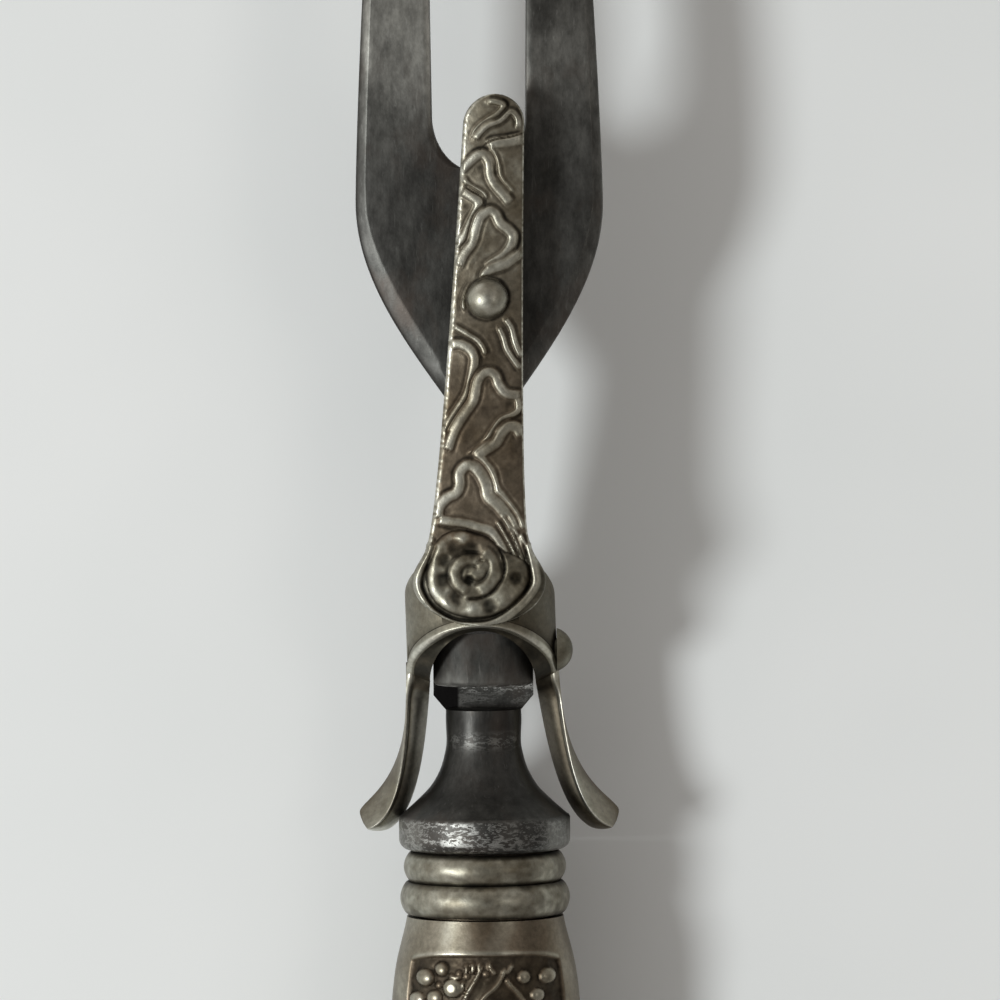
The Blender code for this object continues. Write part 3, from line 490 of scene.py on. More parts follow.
def tarnished_steel():
    """Old forged steel: dark, cleaner on tines and bevels, streaked, with brown patches and pale chips. Its
    darkening also holds painted shade, and its pale chips a painted highlight.
    """
    steel = Finish("tarnished_steel", 1.0, 0.42)
    clean, darkening_and_shade = steel.attribute("clean"), steel.attribute("darkening_and_shade")
    streaks = steel.noise(0.8, 4.0, (0.7, 7.0, 0.7))
    clouds = steel.noise(5.0, 5.0, (1.0, 1.6, 1.0), 0.65)
    rust = steel.noise(8.0, 4.0, (0.8, 1.6, 0.8), 0.6)
    pits = steel.noise(0.35, 2.0)
    mottle = steel.noise(1.3, 4.0, (0.8, 1.8, 0.8), 0.7)
    scuffs = steel.noise(1.2, 5.0, (0.35, 2.2, 0.35), 0.7)
    flakes = steel.noise(2.4, 6.0, (1.6, 0.7, 1.0), 0.68)
    base = steel.ramp(clean, *STEEL_TONES)
    base = steel.shade(base, clouds, (0.30, 0.68), (0.70, 1.25))
    base = steel.shade(base, mottle, (0.34, 0.74), (0.66, 1.22))
    worn = steel.shade(steel.ramp(scuffs, (0.60, 0.0), (0.70, 0.55)), clean, (0.1, 0.2), (0.7, 1.0))
    base = steel.blend(worn, base, SCUFF_GREY)
    base = steel.stain(base, RUST_BROWN, rust, (0.50, 0.0), (0.66, 0.60))
    base = steel.stain(base, STREAK_GREY, streaks, (0.64, 0.0), (0.82, 0.40))
    chips_and_highlight = steel.shade(steel.attribute("plating_and_highlight"), flakes, *CHIP_LEVELS)
    base = steel.blend(chips_and_highlight, base, PLATING_AND_HIGHLIGHT_GREY)
    steel.colour(steel.blend(darkening_and_shade, base, DARKENING_AND_SHADE_BLACK))
    polish = steel.ramp(clouds, (0.25, 0.38), (0.8, 0.55))
    steel.roughness(steel.blend(steel.attribute("dull"), polish, DULL_ROUGHNESS))
    steel.bump(steel.blend(0.5, pits, streaks), 0.04, 0.5)
    return steel.made


WEAR_STOPS = (0.0, 0.22, 0.45, 0.70, 1.0)
BROWN_SILVER = ((0.016, 0.013, 0.010), (0.066, 0.053, 0.039), (0.165, 0.134, 0.098), (0.345, 0.328, 0.268),
                (0.62, 0.61, 0.54))
GREY_SILVER = ((0.016, 0.016, 0.013), (0.075, 0.073, 0.058), (0.180, 0.174, 0.138), (0.345, 0.340, 0.285),
               (0.62, 0.62, 0.55))
BLOTCH_BROWN = (0.140, 0.118, 0.085)
STAIN_TINT = (0.72, 0.68, 0.62)
GRAIN_BROWN = (0.075, 0.064, 0.050)
HOLLOW_ROUGHNESS = 0.62
RUBBED_ROUGHNESS = 0.40


def worn_silver(name="worn_silver", shine=0.0, texture=0.05):
    """Nickel silver: dark in grooves, brown and dull in hollows, pale and smooth on the high spots. Its wear also
    carries painted light and shade: on the guard's legs and saddle, along the arm's left edge and in bands on the
    handle's collar.
    """
    silver = Finish(name, 1.0, 0.35)
    wear = silver.attribute("wear")
    blotches = silver.noise(2.2, 4.0)
    stains = silver.noise(6.0, 3.0, (1.0, 1.4, 1.0))
    grain = silver.noise(0.25, 3.0)
    grit = silver.noise(0.7, 5.0, rough=0.7)
    brown, grey = (silver.ramp(wear, *zip(WEAR_STOPS, tones)) for tones in (BROWN_SILVER, GREY_SILVER))
    base = silver.blend(silver.attribute("grey"), brown, grey)
    base = silver.stain(base, BLOTCH_BROWN, blotches, (0.44, 0.0), (0.72, 0.40))
    base = silver.shade(base, stains, (0.32, STAIN_TINT), (0.62, 1.08))
    base = silver.shade(base, grit, (0.30, 0.76), (0.70, 1.20))
    silver.colour(silver.stain(base, GRAIN_BROWN, grain, (0.60, 0.0), (0.78, 0.30)))
    silver.roughness(silver.ramp(wear, (0.1, HOLLOW_ROUGHNESS - shine), (0.9, RUBBED_ROUGHNESS - shine)))
    silver.bump(silver.blend(0.5, grit, grain), texture, 0.6)
    return silver.made


def spring_steel():
    steel = Finish("spring_steel", 1.0, 0.38)
    streaks = steel.noise(0.6, 4.0, (0.5, 12.0, 0.5))
    steel.colour(steel.ramp(streaks, (0.3, (0.09, 0.088, 0.085)), (0.75, (0.22, 0.215, 0.21))))
    steel.roughness(steel.ramp(streaks, (0.3, 0.5), (0.8, 0.3)))
    steel.bump(streaks, 0.03, 0.5)
    return steel.made


def handle_cement():
    cement = Finish("handle_cement", 0.0, 0.9)
    lumps = cement.noise(1.6, 5.0)
    cement.colour(cement.ramp(lumps, (0.3, (0.16, 0.13, 0.10)), (0.75, (0.30, 0.25, 0.20))))
    cement.bump(lumps, 0.3, 0.6)
    return cement.made


# Forged steel

# Bevels: widths at places along the fork, and a section in shares of width and fall
BEVEL_WIDTHS = [(0.0, 1.2), (SHANK_LENGTH, 1.7), (37.0, 2.7), (45.0, 2.5), (SHOULDER_Y, 1.4), (72.0, 1.2),
                (TIP_Y, 0.8)]
BEVEL_PROFILE = ((0.06, 0.01), (0.14, 0.07), (0.30, 0.23), (0.50, 0.45), (0.70, 0.68), (0.87, 0.90),
                 (0.96, 1.08), (1.0, 1.35))
BEVEL_RISE = 0.7
BEVEL_SHARE = 0.4         # the most of the width or depth that bevels may take
RISE_SHARE = 0.36
BACK_SHARE = 0.3
GAP_SHARE = 0.2
EASE = 0.3                # where a small bevel's rounding starts
HEAD_CROWN = 0.3          # how far the front face falls from the middle to the edges
FACE_STEPS = 16
BACK_STEPS = 9
POINT_ROWS = 14
TINE_ROWS = 90
CROTCH_ROWS = 30
PALM_ROWS = 70
SHANK_ROWS = 24
CROTCH_STEP = 0.3         # from the crotch to the palm's first row
CROTCH_FADE = 2.5         # run of the crotch's bevel out into the palm


def outer_edge(y):
    shank, shoulder, tip = SHANK_WIDTH / 2, SHOULDER_WIDTH / 2, TIP_SPREAD / 2
    if y <= SHANK_LENGTH:
        return shank
    if y <= SHOULDER_Y:
        return mix(shank, shoulder, math.sin(math.pi / 2 * (y - SHANK_LENGTH) / SHOULDER_RUN))
    return mix(shoulder, tip, ((y - SHOULDER_Y) / (TIP_Y - SHOULDER_Y)) ** TINE_BOW)


def inner_edge(y):
    root, tip = CROTCH_GAP / 2, TIP_SPREAD / 2 - TIP_WIDTH
    round_end = CROTCH_Y + CROTCH_ROUND
    if y >= round_end:
        return mix(root, tip, (y - round_end) / (TIP_Y - round_end))
    return root * math.sqrt(max(1.0 - ((round_end - y) / CROTCH_ROUND) ** 2, 0.0))


def palm_share(y):
    """How far the shank has turned into the palm."""
    return float(onset(y, BLOCK_HALF, SHANK_LENGTH - BLOCK_HALF))


def head_top(y):
    if y <= CROTCH_Y:
        return mix(SHANK_RISE, PALM_RISE, palm_share(y))
    return PALM_RISE - TINE_DROP * ((y - CROTCH_Y) / TINE_LENGTH) ** 2


def head_depth(y):
    if y <= CROTCH_Y:
        return mix(SHANK_DEPTH, PALM_DEPTH, palm_share(y))
    return mix(PALM_DEPTH, TIP_DEPTH, (y - CROTCH_Y) / TINE_LENGTH)


def head_section(y, inner, gap_fall):
    """Right half of the head's section, from the middle over the front, the worn bevel and the back."""
    outer, top, depth = outer_edge(y), head_top(y) + AXIS_Z, head_depth(y)
    low, width = top - depth, outer - inner
    bevel = min(float(along(BEVEL_WIDTHS, y)), width * BEVEL_SHARE)
    rise = min(BEVEL_RISE, bevel * BEVEL_SLOPE, depth * RISE_SHARE)
    back = min(BACK_BEVEL, depth * BACK_SHARE)
    gap = min(INNER_BEVEL, width * GAP_SHARE)
    section = [(inner, top - gap_fall), (inner + EASE * gap, top - EASE * gap_fall)]
    section += [(x, top) for x in np.linspace(inner + gap, outer - bevel, FACE_STEPS)]
    section += [(outer - bevel + bevel * run, top - rise * fall) for run, fall in BEVEL_PROFILE]
    section += [(outer, low + back), (outer - EASE * back, low + EASE * back)]
    section += [(x, low) for x in np.linspace(outer - back, inner + gap, BACK_STEPS)]
    section += [(inner + EASE * gap, low + EASE * gap_fall), (inner, low + gap_fall)]
    section = np.array(section)
    front = section[:, 1] > low + depth / 2
    section[:, 1] -= HEAD_CROWN * (section[:, 0] / outer) ** 2 * front
    point = min(max((TIP_Y - y) / POINT_LENGTH, 0.0), 1.0) ** POINT_FULLNESS
    centre = np.array([(outer + inner) / 2, top - depth / 2])
    share = np.array([mix(POINT_SIZE / size, 1.0, point) for size in (TIP_WIDTH, TIP_DEPTH)])
    section = centre + (section - centre) * share
    return np.column_stack([section[:, 0], np.full(len(section), y), section[:, 1]])


def make_head():
    """Tines, palm and shank as one mesh: the right half is mirrored and welded along the middle."""
    round_end, point_start = CROTCH_Y + CROTCH_ROUND, TIP_Y - POINT_LENGTH
    turns = np.linspace(math.pi / 2, 0.0, CROTCH_ROWS)[1:]
    tine_rows = np.concatenate([np.linspace(TIP_Y, point_start, POINT_ROWS),
                                np.linspace(point_start, round_end, TINE_ROWS)[1:],
                                CROTCH_Y + CROTCH_ROUND * (1 - np.cos(turns))])
    palm_rows = np.concatenate([np.linspace(CROTCH_Y - CROTCH_STEP, SHANK_LENGTH, PALM_ROWS),
                                np.linspace(SHANK_LENGTH, 0.0, SHANK_ROWS)[1:]])
    half = [head_section(y, inner_edge(y), min(INNER_BEVEL, head_depth(y) * BACK_SHARE)) for y in tine_rows]
    half += [head_section(y, 0.0, INNER_BEVEL * max(1.0 - (CROTCH_Y - y) / CROTCH_FADE, 0.0))
             for y in palm_rows]
    half = np.array(half)
    index = point_grid(*half.shape[:2])
    faces = quads(index) + quads(index[:len(tine_rows), [-1, 0]])     # the last are the tines' inner sides
    faces += [index[0].tolist(), index[-1].tolist()]
    faces += [[corner + index.size for corner in reversed(face)] for face in faces]
    return new_object("fork_steel", np.concatenate([half, half * MIRRORED]), faces)


BLOCK_WORN = 0.6          # share of the solid's rounding that the worn edges have
CORNER_STEPS = 12
BLOCK_ROWS = 12
SHOULDER_STEPS = 24
LEDGE_COLUMNS = 81
LEDGE_ROWS = 24
LEDGE_ROUND = 0.15
NECK_CHAMFER = 0.25
NECK_BAND = (0.2, 2.9)    # start and end of the straight part behind the ledge
NECK_FLARE = ((3.0, 0.0), (5.2, 0.06), (7.6, 0.75), (9.8, 2.0), (11.7, 3.8))    # distance, gain in radius
FLARE_END = 0.45          # how far the flare stays inside the flange
FLANGE_EDGE = ((0.12, 0.2), (0.0, 0.5))
FLANGE_START = 0.7
BAND_ROWS = 16
FLARE_ROWS = 60
FLANGE_ROWS = 18
ROUND_ROWS = 12
TURNED_END = 0.05         # radius of the flat ends on the axis of turned shapes
NECK_STEPS = 240
NECK_DENTS = (0.05, 2.2, 3)


def block():
    """Hinge block: round between the cheeks, with worn edges front and back."""
    corner = BLOCK_CORNER * BLOCK_WORN
    edge, shoulder = quarter_round(corner, CORNER_STEPS), quarter_round(BLOCK_SHOULDER, SHOULDER_STEPS)
    places = [(-BLOCK_HALF + short, inset) for short, inset in edge[::-1]]
    places += [(y, 0.0) for y in np.linspace(corner - BLOCK_HALF, BLOCK_HALF - corner, BLOCK_ROWS)[1:-1]]
    places += [(BLOCK_HALF - short, inset) for short, inset in edge]
    rings = []
    for y, inset in places:
        width, top = BLOCK_WIDTH / 2 - inset, BLOCK_HALF - inset
        right = [(width - short, y, top - fall) for short, fall in shoulder]
        right.append((width, y, -BLOCK_DEPTH_BELOW))
        rings.append([(-x, y, z) for x, y, z in reversed(right)] + right)
    return loft("hinge_block", rings)


def ledge():
    """Step behind the block, its corners cut back to the neck, with a fine grid on top for its chips and painted
    shade.
    """
    half, taper = BLOCK_WIDTH / 2, BLOCK_WIDTH / 2 - NECK_RADIUS
    rings = []
    for x in np.linspace(-half, half, LEDGE_COLUMNS):
        cut = max((abs(x) - NECK_RADIUS) / taper, 0.0)
        back = mix(LEDGE_END - SEAT_GAP, LEDGE_END + taper, cut)
        top = [(x, y, -LEDGE_DROP) for y in np.linspace(0.0, back + LEDGE_ROUND, LEDGE_ROWS)]
        rings.append([(x, 0.0, -BLOCK_DEPTH_BELOW)] + top
                     + [(x, back, -LEDGE_DROP - LEDGE_ROUND), (x, back, -BLOCK_DEPTH_BELOW)])
    return loft("hinge_ledge", rings)


def neck():
    """Round neck with its worn band, the flare, and the bolster's flange."""
    knots = [(LEDGE_END - run, NECK_RADIUS + gain) for run, gain in NECK_FLARE]
    knots.append((BOLSTER_FRONT, BOLSTER_RADIUS - FLARE_END))
    profile = [(TURNED_END, LEDGE_END), (NECK_RADIUS - NECK_CHAMFER, LEDGE_END)]
    band = np.linspace(LEDGE_END - NECK_BAND[0], LEDGE_END - NECK_BAND[1], BAND_ROWS)
    profile += [(NECK_RADIUS, y) for y in band]
    profile += [(float(along(knots, y)), y) for y in np.linspace(knots[0][0], BOLSTER_FRONT, FLARE_ROWS)]
    profile += [(BOLSTER_RADIUS - inset, BOLSTER_FRONT - run) for inset, run in FLANGE_EDGE]
    rounding = quarter_round(BOLSTER_ROUND, ROUND_ROWS)[1:]
    flange = np.linspace(BOLSTER_FRONT - FLANGE_START, BOLSTER_BACK + BOLSTER_ROUND, FLANGE_ROWS)
    profile += [(BOLSTER_RADIUS, y) for y in flange]
    profile += [(BOLSTER_RADIUS - fall, BOLSTER_BACK + short) for short, fall in rounding]
    profile.append((TURNED_END, BOLSTER_BACK))
    return loft("neck", turned(profile, NECK_STEPS, dents=NECK_DENTS))


# Marks on the steel: where each one sets in, and over what run
HEAD_MARKS = (6.0, 4.0)
TINE_POLISH = (58.0, 20.0)
DULL_TINE = (0.0, 4.0)    # the right tine is the duller one
FLANGE_SIDES = (6.5, 2.0)
FEWER_CHIPS = (0.5, 3.0)
STEP_CRUMBS = (-3.2, 0.8)
# painted shade on the step's left part
STEP_SHADE = (-3.0, -0.25)
STEP_MARGIN = 0.3         # above and below the step's face
BAND_SCRAPE = 4.0         # distance of the neck's scraped band behind the ledge
STEEL_PATCHES = (0.22, 5.0, 14)     # level, size and seed
STEEL_STREAKS = (0.12, 2.0, 15)
DRAWN_OUT = np.array([2.0, 0.4, 2.0])     # makes the streaks run along the fork


def mark_steel(piece):
    """Cleaner tines and bevels, chips of plating on the flange, scrapes on the neck, painted shade on the step and
    on the left bevel, and a pale line on the block's back edge, part wear and part painted highlight.
    """
    points = local_points(piece)
    x, y, z = points.T
    rows = np.linspace(0.0, TIP_Y, 200)
    tops = np.interp(y, rows, [head_top(row) + AXIS_Z for row in rows])
    patchy = specks(points, STEEL_PATCHES) + specks(points * DRAWN_OUT, STEEL_STREAKS)
    head, tines = onset(y, *HEAD_MARKS), onset(y, *TINE_POLISH)
    bevels = head * onset(z, tops - HEAD_CROWN, -1.0)
    hinge = onset(np.abs(y), BLOCK_HALF + 0.5, -0.5)
    flange = onset(y, BOLSTER_FRONT - 0.2, -0.6)
    sides = onset(np.abs(x), *FLANGE_SIDES)
    mark(piece, "dull", 0.8 * hinge)

    bright = 1.0 - 0.70 * onset(x, *DULL_TINE)
    clean = (bright + 0.7 * patchy) * tines * (1.0 - 0.6 * bevels) + 0.25 * patchy * head
    # the bevels are kept darker on the left than on the right: painted shade that tones down the lit left bevel
    clean = clean + bevels * (1.0 - tines) * np.where(x < 0, 0.10, 0.40)
    scuffed = 0.30 * hump(y + BLOCK_HALF, 1.6) * (1.0 + 3.0 * patchy)
    clean = clean + hinge * (0.9 * patchy + scuffed)
    mark(piece, "clean", clean + 0.62 * flange * sides)

    band = hump(y - (LEDGE_END - BAND_SCRAPE), 0.9) * (y < BLOCK_HALF)
    above = z > -LEDGE_DROP - STEP_MARGIN
    # pale line on the block's back edge: part worn edge, part painted highlight
    edge = hump(y + BLOCK_HALF, 0.2) * above * (np.abs(x) < BLOCK_WIDTH / 2 + 0.1)
    on_step = above & (z < STEP_MARGIN - LEDGE_DROP) & (y < -BLOCK_HALF) & (y > LEDGE_END - 0.4)
    crumbs = on_step * hump(y + BLOCK_HALF + 0.25, 0.5) * onset(x, *STEP_CRUMBS)
    chipped = flange * (0.95 - 0.45 * sides) * mix(1.0, 0.45, onset(x, *FEWER_CHIPS))
    mark(piece, "plating_and_highlight", chipped + 0.35 * band + 0.9 * edge + 0.2 * on_step + crumbs)

    shade = 0.38 * onset(y, LEDGE_END, -0.3) * onset(y, BOLSTER_FRONT, 2.0)
    # painted shade on the left bevel, against its highlight from the window
    left_bevel_shade = 0.55 * bevels * (x < 0)
    ground = 0.35 * flange * (1.0 - sides)
    # painted shade on the left part of the step
    mark(piece, "darkening_and_shade", shade + left_bevel_shade + ground + on_step * onset(x, *STEP_SHADE))


def make_forging():
    piece = join(make_head(), [block(), ledge(), neck()])
    mark_steel(piece)
    return dress(piece, tarnished_steel(), "fork", "dark_steel", "fork_forging", sharp=40.0)


# Guard: ornament of the arm, in pixels of the photograph

ARM_TOP_ROW = 95.0
ARM_TOP_COLUMN = 495.0
ARM_ROOT_ROW = 535.0
ARM_ROOT_COLUMN = 478.7
BROAD = 0.76              # half widths of the raised borders
MIDDLE = 0.66
THIN = 0.40
FINE = 0.22
RIDGE_HEIGHT = 0.34
GROOVE_DEPTH = 0.28
FIELD_LEVEL = 0.36        # wear of the plain ground between the borders
TIP_FIELD_LEVEL = 0.50
TIP_FIELD = (36.0, 20.0)  # where it sets in, and over what run
RIDGE_WEAR = 0.80
DEEP_LINE_WIDTH = 0.13
RECESS_GROOVE = 0.8
RING_OFFSET = 0.12        # groove round the bead
RING_WIDTH = 0.2
RING_RUN = 0.3            # over which the borders set in outside it
LINE_REACH = 1.5          # how far from a cut line its distance is needed
ARM_DENTS = ((0.02, 0.8, 21), (0.03, 2.6, 22))
ARM_SPECKS = ((0.06, 0.42, 24), (0.09, 1.6, 25))

# Section of a border: its roundness, its ends, and the groove and slope beside it
BORDER_REACH = 3.0
BORDER_ROUND = 2.6
END_FADE = 0.6
END_LEVEL = 0.25
GROOVE_OFFSET = 0.17
GROOVE_WIDTH = 0.21
EVEN_GROOVE = 0.7
SHALLOW_GROOVE = 0.28
SLOPE_LEVEL = 0.30
SLOPE_WIDTH = 2.2

# Raised borders of the leaves: half width, side of the deep groove (1 is left of travel), and the line
LEAF_BORDERS = [
    (THIN, 1, [(488, 97), (497, 98), (504, 102), (498, 110), (488, 116.5), (478, 125), (473, 135)]),
    (THIN, 0, [(476, 136.4), (479.6, 130), (488, 122), (501, 116.5), (511, 108), (517.7, 114), (519, 124)]),
    (BROAD, 1, [(489, 142), (494.5, 139), (507.8, 137.5), (522.7, 134.5)]),
    (THIN, -1, [(489.5, 143), (494.5, 151), (498.6, 163), (501, 174.6), (509.4, 184.5), (513, 190)]),
    (MIDDLE, 1, [(461, 166), (468, 159.6), (478, 151), (484.6, 150.5), (489.5, 158), (491, 171), (496, 181),
                 (504.5, 191), (511, 199.4)]),
    (THIN, -1, [(463.8, 173), (469.6, 181), (483, 189.5), (486, 196)]),
    (MIDDLE, 1, [(462, 186), (469.6, 190), (478, 196), (479, 203), (473, 216), (468, 226), (461, 239),
                 (458.5, 244)]),
    (MIDDLE, 1, [(459, 262), (464.6, 249.5), (473, 238), (477, 224), (481, 213), (489, 206.5), (496, 209.5),
                 (501, 219), (509.4, 226), (513.6, 232.6), (511, 242.5), (504.5, 251), (493, 259),
                 (486, 265)]),
    (MIDDLE, 0, [(522, 248), (514, 254), (506, 260), (494.5, 264), (488, 267), (485.4, 272), (489.5, 276)]),
    (THIN, 0, [(473, 279), (468, 287), (464.6, 299), (466, 305.6)]),
    (THIN, 0, [(505.3, 313.8), (511.6, 323.4), (514.8, 336), (521, 353.7)]),
    (THIN, 0, [(499, 321.8), (503.7, 333), (507, 344), (513, 353.7), (521, 365)]),
    (THIN, 0, [(454, 321), (459, 324), (468.6, 329.7), (478, 336), (483.7, 344), (485.5, 351)]),
    (MIDDLE, 1, [(451, 340), (460, 339), (470, 344), (475, 353.7), (473, 369.5), (469, 387), (460, 403),
                 (452, 415), (447, 427)]),
    (MIDDLE, 1, [(448, 446), (454, 428), (462, 414), (473, 398), (476, 389), (478, 378), (483, 369.5),
                 (490, 367), (496, 371), (500, 381), (507.6, 389), (521.5, 391)]),
    (THIN, 1, [(518, 393), (518.5, 405), (512, 410.5), (501.7, 415), (494, 425), (486, 436.7), (478, 443.5),
               (470, 449.6)]),
    (BROAD, -1, [(522.5, 432), (517.5, 424), (510, 421.5), (503, 427), (496.5, 438), (485, 445.5),
                 (479.5, 451), (484, 459), (491, 468.5), (495.5, 484), (504, 496), (513.6, 509),
                 (521, 526)]),
    (BROAD, 1, [(438.5, 514), (440, 502), (447, 493), (456, 488), (460, 480), (460, 469), (465, 461.5),
                (472, 460.5), (480, 468), (486, 480), (489, 492), (499.7, 502.5), (509.6, 516),
                (514, 528)]),
    (MIDDLE, -1, [(438.5, 514), (450, 516.5), (464, 518), (478, 522), (490, 526), (498, 534), (504, 545),
                  (508, 556), (511, 571)]),
    (FINE, 0, [(497, 516), (505, 530), (512, 544), (517, 557), (519, 569)]),
    (FINE, 0, [(503, 512), (511, 525), (517, 539), (522, 553), (525, 566)]),
    (FINE, 0, [(513, 522), (520, 535), (525, 549), (529, 562)]),
    (FINE, 0, [(520, 528), (525, 540), (530, 552), (533, 561)]),
]
DEEP_LINES = [[(523, 129.5), (511, 133), (498, 135), (488, 138.5), (481, 144.5)],
              [(461, 178), (471, 186), (483, 193.5), (485, 202)]]
RECESSES = [(480.5, 163, 0.6), (466, 201, 0.6), (509.6, 399, 0.6), (445, 506, 0.7), (487, 376, 0.45)]

# Rosette at the arm's root: a curled leaf
ROSETTE_CENTRE = (478.0, 570.0)
ROSETTE_EDGE = [(426, 572), (427, 559), (433, 541), (442, 530.5), (453, 525.5), (465, 525.5), (477, 529),
                (488, 533), (497, 541), (506, 547), (516, 551), (529, 561), (528.5, 578), (523, 590),
                (512, 601), (498, 609), (480, 613), (462, 612), (447, 607), (435, 598.5), (428, 587)]
ROSETTE_SEAM = [(487.7, 529.5), (494.4, 534.5), (499, 543), (503, 553.6), (504.5, 563), (502.6, 572.7),
                (497.3, 581), (488.7, 589), (480, 592.8), (468.6, 594)]
ROSETTE_CURLS = [(0.85, [(482, 546.5), (489, 552), (493, 560), (494, 569), (489.6, 579), (478, 587)]),
                 (0.72, [(480, 556), (469, 554), (459, 558.5), (454.5, 569), (458, 579), (468, 587)]),
                 (0.72, [(469, 566), (477, 570), (482, 563), (480, 556)])]
ROSETTE_LOBES = [(437, 543, 1.15), (432, 564, 1.1), (432, 585, 1.15), (446, 599, 1.05), (472, 605.5, 1.2),
                 (508, 592, 1.5), (462, 534, 1.0)]
ROSETTE_HOLLOWS = [(456, 543, 1.0), (471, 545, 1.1), (444, 555, 0.8), (443, 575, 0.9), (455, 593, 0.9),
                   (489, 602, 0.9), (516, 574, 0.9), (469, 574.5, 0.55)]
ROSETTE_RISE = 0.5
ROSETTE_ROUND = 1.3       # width of the rounding at its edge
ROSETTE_WEAR = 0.41
ROSETTE_SPECKS = ((0.12, 0.45, 26), (0.08, 1.2, 27))
LOBE_RISE = 0.24
HOLLOW_RISE = -0.28
CURL_RISE = 0.22
SEAM_DEPTH = 0.32
SEAM_WIDTH = 0.2
FAN_RIM = [(431, 537), (425, 552), (418, 569), (416.5, 583), (422.7, 597.5), (431.5, 608), (443.7, 616),
           (456, 620.5), (472.4, 621.5), (487.7, 620), (501, 614.5), (515.5, 604), (529, 591), (536, 578),
           (535, 565), (532, 551), (529.5, 537)]
FAN_RIM_WIDTH = 0.58
FAN_RIM_HEIGHT = 0.5
FAN_RIM_GROOVE = 0.2
FAN_RIM_WEAR = 0.78


def arm_half_width(y):
    fan, root, tip = FAN_WIDTH / 2, ARM_ROOT_WIDTH / 2, ARM_TIP_WIDTH / 2
    start = FAN_CENTRE + FAN_RUN
    if y < FAN_CENTRE:
        return fan * math.sqrt(max(1.0 - ((FAN_CENTRE - y) / (FAN_CENTRE - ARCH_CROWN)) ** 2, 0.0))
    if y < start:
        return mix(fan, root, float(smoothstep((y - FAN_CENTRE) / FAN_RUN)))
    straight = mix(root, tip, ((y - start) / (ARM_TIP - start)) ** ARM_TAPER)
    if y > ARM_TIP - tip:
        return straight * math.sqrt(max(1.0 - ((y - ARM_TIP + tip) / tip) ** 2, 0.0))
    return straight


# Shift of the guard to the right at places along it
GUARD_LEAN = [(-24.0, 0.75), (-4.0, -0.05), (9.0, -0.41), (15.0, -0.41), (ARM_TIP, 2.04)]


def lean(points):
    """Let the guard lie a little askew, as an old loose hinge does, with its arm bent to one side."""
    points = np.array(points, float)
    points[..., 0] += np.interp(points[..., 1], *np.array(GUARD_LEAN).T)
    return points


def on_arm(pixels):
    """Millimetres about the pin for pixels on the arm, measured from its middle line."""
    pixels = np.asarray(pixels, float)
    share = np.clip((pixels[..., 1] - ARM_TOP_ROW) / (ARM_ROOT_ROW - ARM_TOP_ROW), 0.0, 1.0)
    middle = mix(ARM_TOP_COLUMN, ARM_ROOT_COLUMN, share)
    return np.stack([pixels[..., 0] - middle, PIN_ROW - pixels[..., 1]], -1) / ARM_PX_PER_MM


def arm_line(pixels):
    """Smooth line on the arm through a few pixels of the photograph."""
    return curve_through(on_arm(pixels))


def nearest(points, path, reach):
    """Distance from points to a path, the length of path to its nearer end, and the side, 1 on the left."""
    low, high = path.min(0) - reach, path.max(0) + reach
    close = np.where(np.all((points > low) & (points < high), -1))[0]
    distance, from_end, side = np.full(len(points), 1e3), np.zeros(len(points)), np.ones(len(points))
    heading = np.gradient(path, axis=0)
    lengths = np.concatenate([[0.0], np.cumsum(np.linalg.norm(np.diff(path, axis=0), axis=1))])
    for chunk in np.array_split(close, max(len(close) // 4000, 1)):     # in chunks to save memory
        offset = points[chunk, None] - path[None]
        gaps = np.linalg.norm(offset, axis=-1)
        best = gaps.argmin(1)
        rows = np.arange(len(chunk))
        distance[chunk] = gaps[rows, best]
        from_end[chunk] = np.minimum(lengths[best], lengths[-1] - lengths[best])
        away, ahead = offset[rows, best], heading[best]
        side[chunk] = np.sign(ahead[:, 0] * away[:, 1] - ahead[:, 1] * away[:, 0])
    return distance, from_end, side


def border_field(points, borders):
    """Height share and groove of rounded borders, each a half width, a groove side and a path."""
    height, groove = np.zeros(len(points)), np.zeros(len(points))
    for width, deep, path in borders:
        distance, from_end, side = nearest(points, path, BORDER_REACH * width)
        fade = smoothstep(from_end / END_FADE + END_LEVEL)
        band = np.sqrt(np.clip(1.0 - (distance / width) ** BORDER_ROUND, 0.0, 1.0)) * fade
        outside = np.where(side * deep > 0, 1.0, np.where(deep == 0, EVEN_GROOVE, SHALLOW_GROOVE))
        slope = SLOPE_LEVEL * hump(distance, SLOPE_WIDTH * width) * fade * (side * deep <= 0)
        height = np.maximum(height, np.maximum(band, slope))
        line = fade * outside * hump(distance - width - GROOVE_OFFSET, GROOVE_WIDTH)
        groove = np.maximum(groove * (1.0 - band), line)
    return height, groove


